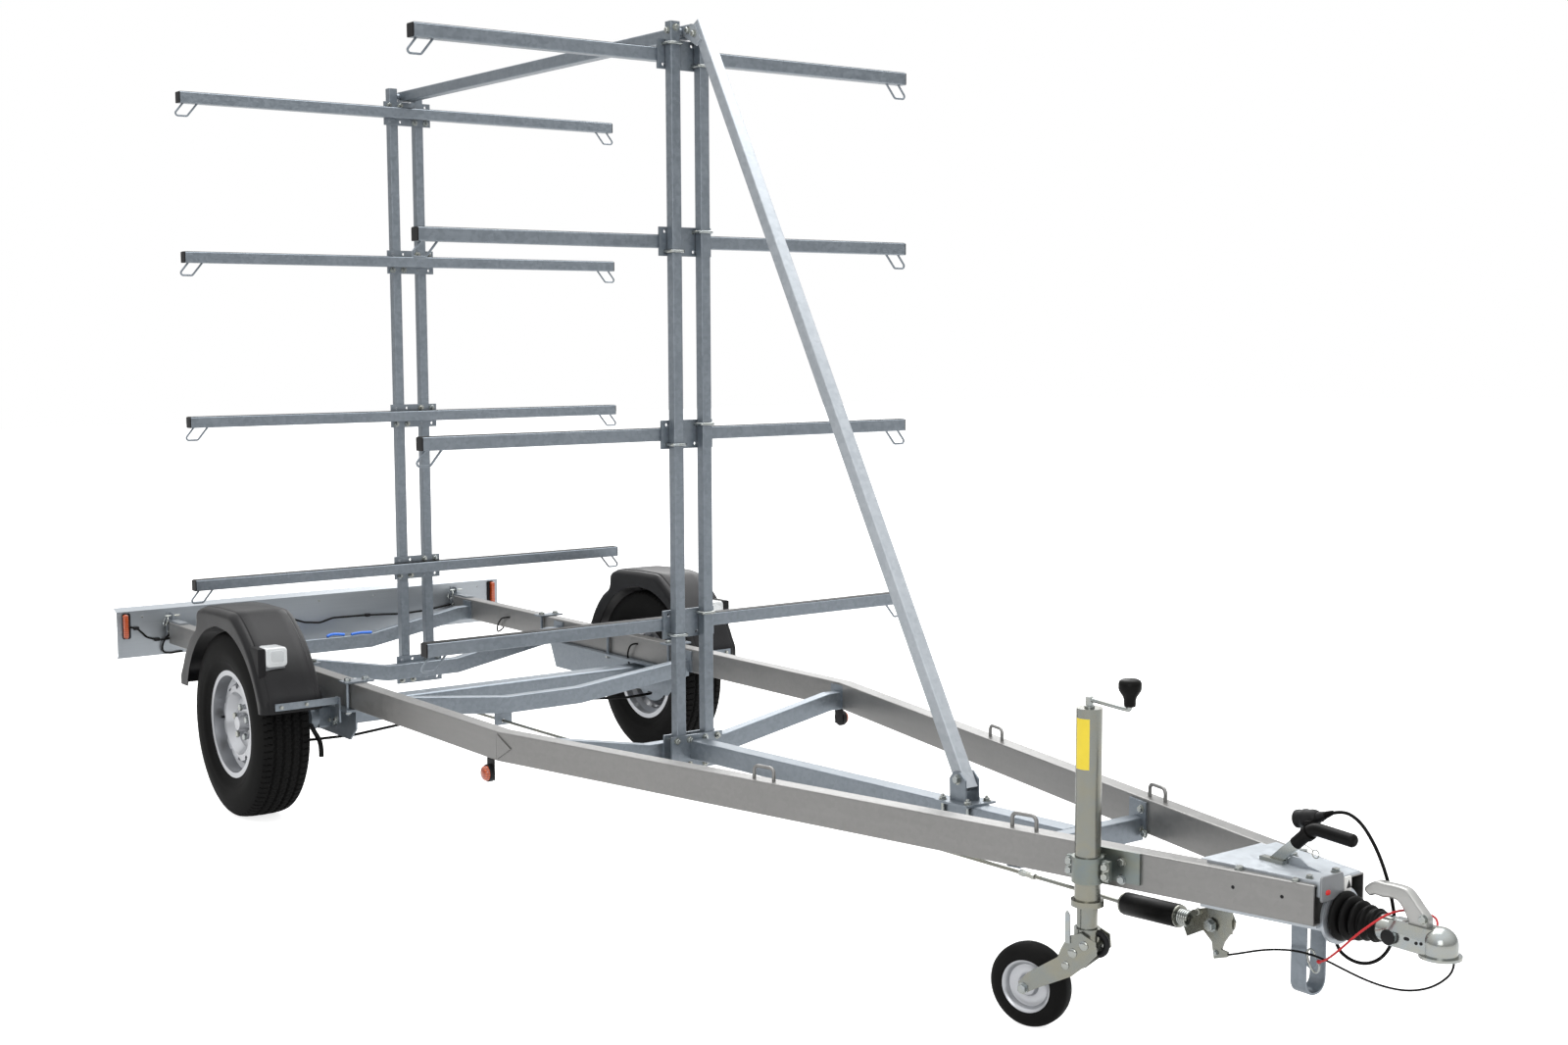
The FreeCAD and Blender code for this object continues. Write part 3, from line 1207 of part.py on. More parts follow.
def report(shift):
    # joint and mount places in the finished frame, in metres
    angle = math.radians(jockeySwivelDegrees)
    jx, jy = jockeyCentre
    axleX, axleY = jx - jockeyTrail * math.cos(angle), jy - jockeyTrail * math.sin(angle)
    for name, spot in (("road_wheel", (0, wheelTrackHalf, tyreRadius)), ("jockey_swivel", (jx, jy, 350)),
                       ("jockey_axle", (axleX, axleY, jockeyAxleZ())), ("ball", (ballX, 0, ballZ))):
        print(name, ["%.6f" % (v / 1000) for v in placed(*spot, shift)])
    tilt = math.radians(noseDownDegrees)
    print("up axis", [round(math.sin(tilt), 6), 0, round(math.cos(tilt), 6)])
    print("jockey axle axis", [round(v, 6) for v in (-math.sin(angle) * math.cos(tilt), math.cos(angle),
                                                     math.sin(angle) * math.sin(tilt))])
    print("shift %.4f" % shift)


solidCounts = {"rear_lamps": 2, "side_lamps": 2, "position_lamps": 2, "rail_markers": 2, "brake_cables": 2,
               "axle_arms": 2, "posts_front": 2, "posts_rear": 2, "guard_stays": 4}
nodes = buildAll()
shift = stand(nodes)
report(shift)
for name, shape in nodes.items():
    solids = shape.Solids
    if not shape.isValid() or len(solids) != solidCounts.get(name, 1):
        print("check", name, len(solids), shape.isValid())
    if len(solids) == 1:
        shape = solids[0]
    shape.exportStep("parts/%s.step" % name)
print(len(nodes), "pieces")
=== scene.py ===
import json
import math

import bmesh
import bpy
import numpy as np
from mathutils import Matrix, Vector


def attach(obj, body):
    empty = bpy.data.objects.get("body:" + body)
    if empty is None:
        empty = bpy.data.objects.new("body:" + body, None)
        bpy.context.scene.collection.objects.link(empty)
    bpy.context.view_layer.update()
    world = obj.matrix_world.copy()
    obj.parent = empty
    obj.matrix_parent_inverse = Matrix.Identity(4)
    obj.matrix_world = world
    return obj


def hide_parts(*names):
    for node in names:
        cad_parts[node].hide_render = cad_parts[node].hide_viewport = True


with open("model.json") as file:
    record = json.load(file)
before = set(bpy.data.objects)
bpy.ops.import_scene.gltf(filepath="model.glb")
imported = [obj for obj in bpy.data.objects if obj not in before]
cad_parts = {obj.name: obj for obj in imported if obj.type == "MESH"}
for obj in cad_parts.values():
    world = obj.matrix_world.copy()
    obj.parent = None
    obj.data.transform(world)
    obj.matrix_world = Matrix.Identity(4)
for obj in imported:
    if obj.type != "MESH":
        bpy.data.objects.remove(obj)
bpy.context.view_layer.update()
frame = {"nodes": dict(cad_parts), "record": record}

# The trailer is drawn level, with x forward from its axle, and then stands nose down on its jockey wheel.
behaviour = frame["record"]["behaviour"]
joints = {joint["name"]: joint for joint in behaviour["joints"]}
axle = joints["wheel_right_spin"]["pos_m"]
liftAxis = joints["jockey_lift"]["axis"]
sinTilt, cosTilt = -liftAxis[0], -liftAxis[2]


def stand(points):
    # level points turned about the axle line by the stance's angle, then moved to the axle
    x, y, z = np.asarray(points, float).reshape(-1, 3).T
    up = z - axle[2]
    return np.stack([axle[0] + x * cosTilt + up * sinTilt, y, axle[2] + up * cosTilt - x * sinTilt], 1)


# Camera, fitted to the photograph's view of the level frame's known corners.
cameraView = {"place": (5.1215, -3.4041, 1.5515), "heading": 143.023, "pitch": -4.568, "roll": -0.954,
              "focalPixels": 1954.15, "imageWidth": 1600, "sensor": 36.0}


def makeCamera():
    # looks along its heading and pitch, rolls about that line, and its lens is the focal length in pixels times
    # the sensor's width over the picture's width
    view = cameraView
    heading, pitch, roll = (math.radians(view[key]) for key in ("heading", "pitch", "roll"))
    level = math.cos(pitch)
    forward = Vector((level * math.cos(heading), level * math.sin(heading), math.sin(pitch)))
    sideways = Vector((math.sin(heading), -math.cos(heading), 0))
    upright = sideways.cross(forward)
    right = sideways * math.cos(roll) + upright * math.sin(roll)
    up = upright * math.cos(roll) - sideways * math.sin(roll)
    data = bpy.data.cameras.new("photographCamera")
    camera = bpy.data.objects.new("photographCamera", data)
    bpy.context.scene.collection.objects.link(camera)
    rows = [[right[i], up[i], -forward[i], view["place"][i]] for i in range(3)]
    camera.matrix_world = Matrix(rows + [[0, 0, 0, 1]])
    data.sensor_width = view["sensor"]
    data.lens = view["focalPixels"] * view["sensor"] / view["imageWidth"]
    data.clip_end = 200
    bpy.context.scene.camera = camera


makeCamera()
print("camera made")

# Cords, in level metres: the plug's lead, the breakaway cable and the release cord.
cords = {
    "plugLead": {"node": "plug_cable", "radius": 0.004, "length": 0.5735, "stiffness": "medium",
        "lay": "hanging", "finish": "hose_rubber", "points": [(3.945, 0.016, 0.643), (3.986, 0.016, 0.6627),
        (4.031, 0.019, 0.648), (4.066, 0.024, 0.603), (4.09, 0.03, 0.549), (4.103, 0.037, 0.493),
        (4.108, 0.045, 0.44), (4.104, 0.045, 0.392), (4.084, 0.036, 0.352), (4.05, 0.026, 0.332),
        (4.012, 0.02, 0.334), (3.978, 0.018, 0.354), (3.968, 0.017, 0.402)]},
    "breakawayCable": {"node": "breakaway_cable", "radius": 0.0025, "length": 0.5968, "stiffness": "stiff",
        "lay": "hanging", "finish": "cable_coat", "points": [(3.7458, -0.06, 0.292), (3.784, -0.06, 0.306),
        (3.824, -0.059, 0.322), (3.868, -0.058, 0.336), (3.914, -0.056, 0.346), (3.958, -0.052, 0.349),
        (4.0, -0.044, 0.343), (4.042, -0.034, 0.33), (4.086, -0.025, 0.319), (4.13, -0.018, 0.314),
        (4.172, -0.012, 0.316), (4.208, -0.008, 0.326), (4.24, -0.005, 0.342), (4.268, -0.003, 0.366),
        (4.283, -0.002, 0.388), (4.284, -0.002, 0.406)]},
    "releaseCord": {"node": "release_cord", "radius": 0.0025, "length": 0.3874, "stiffness": "limp",
        "lay": "hanging", "finish": "red_cord", "points": [(3.971, -0.034, 0.33), (3.995, -0.049, 0.34),
        (4.022, -0.063, 0.358), (4.056, -0.07, 0.388), (4.09, -0.069, 0.424), (4.118, -0.06, 0.452),
        (4.138, -0.036, 0.474), (4.148, -0.008, 0.481), (4.158, 0.018, 0.481), (4.18, 0.04, 0.478),
        (4.214, 0.05, 0.468), (4.22, 0.0273, 0.4513)]}}
pointRadius = 0.01
cordPieces = {}


def makeCords():
    # quadratic spline near its control points, as thick as the bevel's depth times the radius at each point; that
    # radius is small because the box of a curve reaches it
    for name, cord in cords.items():
        points = stand(cord["points"])
        curve = bpy.data.curves.new(name, "CURVE")
        curve.dimensions = "3D"
        curve.bevel_depth, curve.bevel_resolution, curve.resolution_u = cord["radius"] / pointRadius, 4, 8
        curve.use_fill_caps = True
        line = curve.splines.new("NURBS")
        line.points.add(len(points) - 1)
        line.points.foreach_set("co", np.concatenate([points, np.ones((len(points), 1))], 1).ravel())
        line.points.foreach_set("radius", np.full(len(points), pointRadius))
        line.order_u = 3
        line.use_endpoint_u = True
        piece = bpy.data.objects.new(name, curve)
        bpy.context.scene.collection.objects.link(piece)
        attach(piece, "chassis")
        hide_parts(cord["node"])
        cordPieces[name] = piece


makeCords()
print("cords made")


def fill(tree, socket, item):
    # a socket takes a link from another socket, or a plain value
    if isinstance(item, Value):
        tree.links.new(item.socket, socket)
    else:
        socket.default_value = item


# Shader maths: a socket that takes part in Python expressions.
class Value:
    def __init__(self, tree, socket):
        self.tree, self.socket = tree, socket

    def maths(self, operation, *items):
        node = self.tree.nodes.new("ShaderNodeMath")
        node.operation = operation
        for socket, item in zip(node.inputs, items):
            fill(self.tree, socket, item)
        return Value(self.tree, node.outputs[0])

    def __add__(self, other): return self.maths("ADD", self, other)
    def __radd__(self, other): return self.maths("ADD", other, self)
    def __sub__(self, other): return self.maths("SUBTRACT", self, other)
    def __rsub__(self, other): return self.maths("SUBTRACT", other, self)
    def __mul__(self, other): return self.maths("MULTIPLY", self, other)

    def clipped(self, low=0.0, high=1.0):
        return self.maths("MINIMUM", self.maths("MAXIMUM", self, low), high)


class Nodes:
    def __init__(self, tree):
        self.tree = tree

    def add(self, kind, settings=None, inputs=None, output=0):
        # any node: its settings first, then the values or links of its sockets
        node = self.tree.nodes.new(kind)
        for key, item in (settings or {}).items():
            setattr(node, key, item)
        for key, item in (inputs or {}).items():
            fill(self.tree, node.inputs[key], item)
        return Value(self.tree, node.outputs[output])

    def rays(self):
        # what kind of ray is looking: from the camera, off a shiny piece, or through a clear one
        return [self.add("ShaderNodeLightPath", output="Is %s Ray" % kind)
                for kind in ("Camera", "Glossy", "Transmission")]

    def place(self, stretch=(1, 1, 1)):
        coordinates = self.add("ShaderNodeTexCoord", output="Object")
        return self.add("ShaderNodeMapping", inputs={"Vector": coordinates, "Scale": stretch})

    def noise(self, place, scale, detail=3.0, roughness=0.5, distortion=0.0):
        return self.add("ShaderNodeTexNoise", inputs={"Vector": place, "Scale": scale, "Detail": detail,
                                                      "Roughness": roughness, "Distortion": distortion})

    def cells(self, place, scale):
        colour = self.add("ShaderNodeTexVoronoi", inputs={"Vector": place, "Scale": scale}, output="Color")
        return self.add("ShaderNodeSeparateColor", inputs={"Color": colour})

    def between(self, amount, first, second):
        mix = {"data_type": "RGBA", "clamp_factor": True}
        return self.add("ShaderNodeMix", mix, {0: amount, 6: (*first, 1), 7: (*second, 1)}, output=2)

    def bump(self, height, strength, distance):
        return self.add("ShaderNodeBump", inputs={"Height": height, "Strength": strength, "Distance": distance})


class Finish(Nodes):
    def __init__(self, name):
        self.material = bpy.data.materials.new(name)
        self.material.use_nodes = True
        super().__init__(self.material.node_tree)
        self.surface = self.tree.nodes["Principled BSDF"]

    def set(self, **values):
        names = {"colour": "Base Color", "roughness": "Roughness", "metallic": "Metallic", "normal": "Normal",
                 "coat": "Coat Weight", "coatRoughness": "Coat Roughness", "specular": "Specular IOR Level"}
        for key, item in values.items():
            fill(self.tree, self.surface.inputs[names[key]], item)
        return self.material


def galvanised(name, dark, light, spangle=0.5, roughness=0.42):
    # hot-dip zinc: crystal patches of a few millimetres under broad cloudy drifts and fine specks
    finish = Finish(name)
    place = finish.place()
    crystals = finish.cells(place, 85.0)
    drifts = finish.noise(place, 5.0, 6.0, 0.6, 0.5)
    streaks = finish.noise(finish.place((1.0, 1.0, 9.0)), 7.0, 4.0, 0.55)
    specks = finish.noise(place, 420.0, 2.0)
    tone = 0.5 + (crystals - 0.5) * spangle + (drifts - 0.5) * 0.55 + (streaks - 0.5) * 0.35
    colour = finish.between(tone.clipped(), dark, light)
    rough = roughness + (crystals - 0.5) * 0.1 + (drifts - 0.5) * 0.15
    height = specks * 0.5 + crystals * 0.5
    return finish.set(colour=colour, roughness=rough.clipped(0.15, 0.9), metallic=0.72,
                      normal=finish.bump(height, 0.16, 0.0005))


def zincPlated(name, light, roughness=0.26):
    # bright plating with a faint yellow and blue drift and fine wear
    finish = Finish(name)
    place = finish.place()
    drift = finish.noise(place, 14.0, 4.0, 0.6, 1.2)
    rub = finish.noise(place, 90.0, 3.0)
    warm = tuple(c * t for c, t in zip(light, (1.0, 0.97, 0.86)))
    cool = tuple(c * t for c, t in zip(light, (0.86, 0.93, 1.0)))
    colour = finish.between(((drift - 0.35) * 2.2).clipped(), warm, cool)
    return finish.set(colour=colour, roughness=(roughness + (rub - 0.5) * 0.12).clipped(0.1, 0.8), metallic=0.88,
                      normal=finish.bump(rub, 0.04, 0.0003))


def sheetAluminium(name):
    # rolled sheet: fine lines along its length
    finish = Finish(name)
    lines = finish.noise(finish.place((420.0, 4.0, 420.0)), 1.0, 2.0)
    drift = finish.noise(finish.place(), 3.0, 3.0)
    colour = finish.between((lines * 0.6 + drift * 0.5).clipped(), (0.27, 0.295, 0.32), (0.39, 0.415, 0.44))
    return finish.set(colour=colour, roughness=(0.34 + (lines - 0.5) * 0.2).clipped(), metallic=0.85,
                      normal=finish.bump(lines, 0.06, 0.0003))


def wheelPaint(name):
    # silver paint: fine flakes and a slow drift under a thin coat
    finish = Finish(name)
    flake = finish.noise(finish.place(), 900.0, 1.0)
    drift = finish.noise(finish.place(), 12.0, 3.0)
    colour = finish.between((flake * 0.5 + drift * 0.5).clipped(), (0.32, 0.33, 0.35), (0.48, 0.49, 0.51))
    return finish.set(colour=colour, roughness=0.3, metallic=0.75, coat=0.35, coatRoughness=0.12,
                      normal=finish.bump(flake, 0.05, 0.0002))


def blackRubber(name, tone=0.022, roughness=0.62, grain=260.0):
    # matt rubber with a dusty bloom
    finish = Finish(name)
    place = finish.place()
    dust = finish.noise(place, 9.0, 5.0, 0.6)
    fine = finish.noise(place, grain, 2.0)
    colour = finish.between(((dust - 0.35) * 1.6).clipped(), (tone * 0.6,) * 3, (tone * 1.9, tone * 1.85, tone * 1.75))
    return finish.set(colour=colour, roughness=(roughness + (dust - 0.5) * 0.25).clipped(0.2, 0.95), specular=0.08,
                      normal=finish.bump(fine, 0.18, 0.0005))


def mouldedPlastic(name, tone=0.016, roughness=0.36):
    # grained black plastic, slightly glossy where it is rubbed
    finish = Finish(name)
    place = finish.place()
    grain = finish.cells(place, 700.0)
    rub = finish.noise(place, 6.0, 4.0, 0.55, 0.3)
    colour = finish.between(rub, (tone, tone, tone * 1.1), (tone * 1.9, tone * 1.9, tone * 2.1))
    return finish.set(colour=colour, roughness=(roughness + (rub - 0.5) * 0.22).clipped(0.15, 0.9), specular=0.18,
                      normal=finish.bump(grain, 0.1, 0.0004))


def bands(finish, place, way, scale):
    # light and dark waves that follow one another the given way, closer together as the scale grows
    return finish.add("ShaderNodeTexWave", {"bands_direction": way}, {"Vector": place, "Scale": scale}, "Fac")


def lens(name, colour, deep, ribs=260.0):
    # moulded lens: the product of upright and level bands as a fine prism pattern under a clear face
    finish = Finish(name)
    place = finish.place()
    pattern = bands(finish, place, "Z", ribs / 6.28) * bands(finish, place, "Y", ribs / 6.28)
    return finish.set(colour=finish.between(pattern, deep, colour), roughness=0.16, coat=0.8, coatRoughness=0.04,
                      normal=finish.bump(pattern, 0.35, 0.0012))


def plain(name, colour, roughness=0.5, metallic=0.0, grain=300.0):
    # one colour that drifts from 0.82 to 1.15 of itself, with a fine grain
    finish = Finish(name)
    fine = finish.noise(finish.place(), grain, 3.0)
    drift = finish.noise(finish.place(), 12.0, 3.0)
    tint = finish.between(drift, tuple(c * 0.82 for c in colour), tuple(min(c * 1.15, 1) for c in colour))
    return finish.set(colour=tint, roughness=(roughness + (fine - 0.5) * 0.15).clipped(), metallic=metallic,
                      normal=finish.bump(fine, 0.1, 0.0003))


def wovenCord(name, colour):
    # braided thread: two slanting waves crossed, light on their crests
    finish = Finish(name)
    place = finish.place()
    weave = bands(finish, place, "DIAGONAL", 260.0) * 0.5 + bands(finish, place, "X", 300.0) * 0.5
    tint = finish.between(weave, tuple(c * 0.5 for c in colour), tuple(min(c * 1.6, 1) for c in colour))
    return finish.set(colour=tint, roughness=0.75, normal=finish.bump(weave, 0.5, 0.0004))


finishes = {
    "galvanised_steel": galvanised("galvanisedFinish", (0.14, 0.163, 0.187), (0.245, 0.275, 0.305), 0.35, 0.4),
    "rail": galvanised("railFinish", (0.175, 0.174, 0.17), (0.255, 0.252, 0.246), 0.25, 0.38),
    "pale_galvanised": galvanised("paleGalvanisedFinish", (0.3, 0.33, 0.36), (0.47, 0.5, 0.53), 0.3, 0.42),
    "zinc_plated_steel": zincPlated("zincFinish", (0.225, 0.228, 0.212), 0.24),
    "bright_zinc": zincPlated("brightZincFinish", (0.32, 0.335, 0.34), 0.2),
    "wheel_steel": wheelPaint("wheelFinish"),
    "board_aluminium": sheetAluminium("boardFinish"),
    "tyre_rubber": blackRubber("tyreFinish", 0.006, 0.7),
    "jockey_rubber": blackRubber("jockeyTyreFinish", 0.005, 0.62),
    "black_rubber": blackRubber("bellowsFinish", 0.005, 0.42),
    "black_plastic": mouldedPlastic("plasticFinish", 0.007, 0.4),
    "mudguard_plastic": mouldedPlastic("mudguardFinish", 0.006, 0.36),
    "cap_plastic": mouldedPlastic("capFinish", 0.005, 0.5),
    # painted shade: a darker, greener copy of the zinc plating for the jockey clamp, which sits in shadow
    "dark_zinc": zincPlated("darkZincFinish", (0.19, 0.21, 0.205), 0.35),
    "hose_rubber": blackRubber("hoseFinish", 0.005, 0.34),
    "cable_coat": blackRubber("cableFinish", 0.004, 0.4),
    "red_cord": wovenCord("releaseFinish", (0.42, 0.012, 0.016)),
    "grey_cover": plain("coverFinish", (0.2, 0.21, 0.22), 0.45, 0.2),
    "white_part": plain("palePartFinish", (0.75, 0.75, 0.73), 0.4),
    "silver_glass": plain("lampGlassFinish", (0.62, 0.64, 0.65), 0.18, 0.5),
    "cast_zinc": plain("castFinish", (0.36, 0.36, 0.35), 0.34, 0.75, 200.0),
    "red_lens": lens("redLensFinish", (0.55, 0.02, 0.015), (0.25, 0.004, 0.004)),
    "amber_lens": lens("amberLensFinish", (0.62, 0.11, 0.012), (0.28, 0.035, 0.004)),
    "white_lens": lens("clearLensFinish", (0.86, 0.88, 0.88), (0.45, 0.47, 0.48), 500.0),
    "label": plain("labelFinish", (0.72, 0.56, 0.03), 0.42),
    "red_mark": plain("redMarkFinish", (0.6, 0.02, 0.02), 0.3),
    "blue_part": plain("blueFinish", (0.02, 0.14, 0.6), 0.35),
}
# The material slot that goes with a finish where a piece names none. Other finishes have no slot.
slotOf = {"bright_zinc": "zinc_plated_steel", "cast_zinc": "zinc_plated_steel", "cap_plastic": "black_plastic",
          "mudguard_plastic": "black_plastic", "hose_rubber": "black_rubber", "cable_coat": "black_rubber",
          "silver_glass": "white_lens", "white_part": "white_lens"}
slotOf.update({name: name for name in ("black_rubber", "tyre_rubber", "jockey_rubber", "wheel_steel",
                                       "white_lens", "amber_lens", "red_cord")})
print("finishes made")


def dressFrame():
    # every carried-over node takes its slot's finish, or a nearer one where its own piece has one
    slots = {row["node"]: row["material_slot"] for row in frame["record"]["subparts"]}
    # the jockey clamp takes the darker zinc, which is painted shade
    own = {"rail_right": "rail", "rail_left": "rail", "coupling_head": "bright_zinc", "jockey_clamp": "dark_zinc",
           "handbrake_lever": "bright_zinc", "brace": "pale_galvanised", "coupling_housing": "pale_galvanised",
           "handbrake_grip": "hose_rubber", "wiring": "cable_coat", "brake_cables": "cable_coat"}
    for node, piece in frame["nodes"].items():
        piece.data.materials.clear()
        piece.data.materials.append(finishes[own.get(node, slots[node])])
    for name, piece in cordPieces.items():
        piece.data.materials.append(finishes[cords[name]["finish"]])


dressFrame()


# Mesh making: a part is (points, faces) in level coordinates.
def gridFaces(rows, columns, wrapRows=False, wrapColumns=False):
    # quads between neighbouring points of a rows by columns grid
    r = np.arange(rows if wrapRows else rows - 1)[:, None]
    c = np.arange(columns if wrapColumns else columns - 1)[None, :]
    nextRow, nextColumn = (r + 1) % rows, (c + 1) % columns
    quads = np.stack([r * columns + c, r * columns + nextColumn, nextRow * columns + nextColumn,
                      nextRow * columns + c], -1)
    return quads.reshape(-1, 4).tolist()


def joined(parts):
    # several parts as one, each one's faces counting on from the points before it
    points, faces, start = [], [], 0
    for partPoints, partFaces in parts:
        points.append(np.asarray(partPoints, float).reshape(-1, 3))
        faces += [[start + i for i in face] for face in partFaces]
        start += len(points[-1])
    return np.concatenate(points), faces


def axes(direction):
    # three unit vectors: the direction and two square to it
    d = np.asarray(direction, float) / np.linalg.norm(direction)
    hint = np.array((0.0, 0.0, 1.0) if abs(d[2]) < 0.9 else (1.0, 0.0, 0.0))
    first = hint - d * np.dot(hint, d)
    first /= np.linalg.norm(first)
    return d, first, np.cross(d, first)


def lathe(profile, centre, direction, turns):
    # profile of (along, radius) turned about the line through centre
    d, first, second = axes(direction)
    along, radius = np.asarray(profile, float).T
    angle = np.linspace(0, 2 * math.pi, turns, endpoint=False)
    ring = np.cos(angle)[:, None] * first + np.sin(angle)[:, None] * second
    points = np.asarray(centre) + along[:, None, None] * d + radius[:, None, None] * ring
    return points.reshape(-1, 3), gridFaces(len(along), turns, wrapColumns=True)


def sweep(path, radius, sides=10, across=(0.0, 0.0, 1.0)):
    # circle carried along a path, its ends closed to points
    path = np.asarray(path, float)
    tangent = np.gradient(path, axis=0)
    tangent /= np.linalg.norm(tangent, axis=1)[:, None]
    first = np.cross(tangent, across)
    first /= np.linalg.norm(first, axis=1)[:, None]
    second = np.cross(tangent, first)
    angle = np.linspace(0, 2 * math.pi, sides, endpoint=False)
    ring = np.cos(angle)[None, :, None] * first[:, None] + np.sin(angle)[None, :, None] * second[:, None]
    points = path[:, None] + radius * ring
    points = np.concatenate([np.repeat(path[:1, None], sides, 1), points, np.repeat(path[-1:, None], sides, 1)])
    return points.reshape(-1, 3), gridFaces(len(path) + 2, sides, wrapColumns=True)


def loft(loops):
    # closed loops joined one to the next, the first and last filled
    loops = np.asarray(loops, float)
    rows, columns = loops.shape[:2]
    ends = [list(range(columns)), list(range((rows - 1) * columns, rows * columns))]
    return loops.reshape(-1, 3), gridFaces(rows, columns, wrapColumns=True) + ends


def pillow(outline, thickness, edge, origin, uAxis, vAxis, steps=4):
    # plate with rounded edges: its outline shrinks as a quarter circle towards each face
    flat = np.asarray(outline, float)
    before, after = flat - np.roll(flat, 1, 0), np.roll(flat, -1, 0) - flat
    before /= np.linalg.norm(before, axis=1)[:, None]
    after /= np.linalg.norm(after, axis=1)[:, None]
    square = np.stack([-before[:, 1], before[:, 0]], 1)
    inward = np.stack([-(before + after)[:, 1], (before + after)[:, 0]], 1)
    inward /= np.linalg.norm(inward, axis=1)[:, None]
    inward /= np.clip(np.sum(inward * square, 1), 0.5, 1)[:, None]
    area = np.sum(flat[:, 0] * np.roll(flat[:, 1], -1) - np.roll(flat[:, 0], -1) * flat[:, 1])
    t = np.linspace(0, math.pi / 2, steps)
    inset = edge * (1 - np.sin(t))
    lift = edge * (1 - np.cos(t))
    inset, lift = np.concatenate([inset, inset[::-1]]), np.concatenate([lift, thickness - lift[::-1]])
    u, v = np.asarray(uAxis, float), np.asarray(vAxis, float)
    loops = flat + inset[:, None, None] * inward * np.sign(area)
    return loft(np.asarray(origin) + loops @ np.stack([u, v]) + lift[:, None, None] * np.cross(u, v))


def bothSides(parts):
    # the parts and their mirror images across the middle
    return parts + [(np.asarray(points, float) * (1, -1, 1), faces) for points, faces in parts]


def turned(part, degrees, centre):
    # part drawn about the upright axis, turned and carried to its centre
    c, s = math.cos(math.radians(degrees)), math.sin(math.radians(degrees))
    x, y, z = np.asarray(part[0], float).T
    return np.stack([centre[0] + x * c - y * s, centre[1] + x * s + y * c, z], 1), part[1]


def smoothPath(points, count=40):
    # curve through the points, each stretch a cubic whose slopes come from the neighbours
    keys = np.asarray(points, float)
    t = np.linspace(0, len(keys) - 1.0001, count)
    i = t.astype(int)
    f = (t - i)[:, None]
    start, end = keys[i], keys[i + 1]
    before, after = keys[np.maximum(i - 1, 0)], keys[np.minimum(i + 2, len(keys) - 1)]
    return 0.5 * (2 * start + (end - before) * f + (2 * before - 5 * start + 4 * end - after) * f ** 2
                  + (3 * start - before - 3 * end + after) * f ** 3)


def filleted(points, radius, steps=7):
    # corners of an open outline replaced by arcs, each cut back by the same length on both runs
    points = np.asarray(points, float)
    out = [points[:1]]
    t = np.linspace(0, 1, steps)[:, None]
    for a, b, c in zip(points, points[1:], points[2:]):
        into, after = np.linalg.norm(b - a), np.linalg.norm(c - b)
        back = min(radius, into * 0.45, after * 0.45)
        start, end = b + (a - b) / into * back, b + (c - b) / after * back
        out.append((1 - t) ** 2 * start + 2 * t * (1 - t) * b + t ** 2 * end)
    out.append(points[-1:])
    return np.concatenate(out)


def closedSmooth(points, count):
    # closed curve through the points: the open curve through them and their neighbours, cut to one round
    keys = np.asarray(points, float)
    wrapped = np.concatenate([keys[-2:], keys, keys[:3]])
    path = smoothPath(wrapped, count * (len(wrapped) - 1) // len(keys) + 1)
    share = len(keys) / (len(wrapped) - 1)
    first = int(round(2 / (len(wrapped) - 1) * (len(path) - 1)))
    return path[first:first + int(round(share * (len(path) - 1)))]


def rectangle(half, low, high):
    # outline from -half to half one way and from low to high the other
    return [(-half, low), (half, low), (half, high), (-half, high)]


def roundedOutline(width, height, radius, steps=5):
    # rectangle about its middle with quarter-circle corners
    a = np.linspace(0, math.pi / 2, steps)
    corners = []
    for turn, (sx, sy) in enumerate(((1, 1), (-1, 1), (-1, -1), (1, -1))):
        cx, cy = sx * (width / 2 - radius), sy * (height / 2 - radius)
        b = a + turn * math.pi / 2
        corners.append(np.stack([cx + radius * np.cos(b), cy + radius * np.sin(b)], 1))
    return np.concatenate(corners)


def dome(width, height, depth, corner, origin, uAxis, vAxis, edge=0.3, rings=7):
    # cushion-shaped lens: rounded rectangles that shrink as a quarter circle towards the face and close to a point
    u, v = np.asarray(uAxis, float), np.asarray(vAxis, float)
    n = np.cross(u, v)
    rim = roundedOutline(width, height, corner, 7)
    t = np.linspace(0, math.pi / 2, rings)
    shrink = edge * min(width, height) / 2
    lift = np.concatenate([[0.0], depth * (1 - edge) + depth * edge * np.sin(t), [depth]])
    inset = np.concatenate([[0.0], shrink * (1 - np.cos(t)), [width + height]])
    layers = []
    for z, d in zip(lift, inset):
        scale = np.array([max(0, 1 - 2 * d / width), max(0, 1 - 2 * d / height)])
        layers.append(np.asarray(origin) + (rim * scale) @ np.stack([u, v]) + n * z)
    base = np.repeat(np.asarray(origin, float)[None], len(rim), 0)
    points = np.concatenate([base] + layers)
    return points, gridFaces(len(layers) + 1, len(rim), wrapColumns=True)


# Hexagons and washers: shares of the thread's size, and the washer's thickness in metres
hexagon = {"radius": 0.92, "height": 0.72, "shoulder": 0.85, "chamfer": 0.88, "washer": 1.15,
           "washerThick": 0.0016, "thread": 0.46, "threadEnd": 0.38, "lead": 0.001}


def bolt(place, direction, size=0.008, washer=True, shank=0.0):
    # hexagon head or nut of a given thread size, with its washer and the thread's end
    h = hexagon
    base = h["washerThick"] if washer else 0.0
    across, head = size * h["radius"], size * h["height"]
    top = base + head
    parts = [lathe([(base, 0), (base, across), (base + head * h["shoulder"], across), (top, across * h["chamfer"]),
                    (top, 0)], place, direction, 6)]
    if washer:
        parts.append(lathe([(0, 0), (0, size * h["washer"]), (base, size * h["washer"]), (base, 0)], place,
                           direction, 20))
    if shank:
        parts.append(lathe([(0, size * h["thread"]), (top + shank - h["lead"], size * h["thread"]),
                            (top + shank, size * h["threadEnd"]), (top + shank, 0)], place, direction, 12))
    return joined(parts)


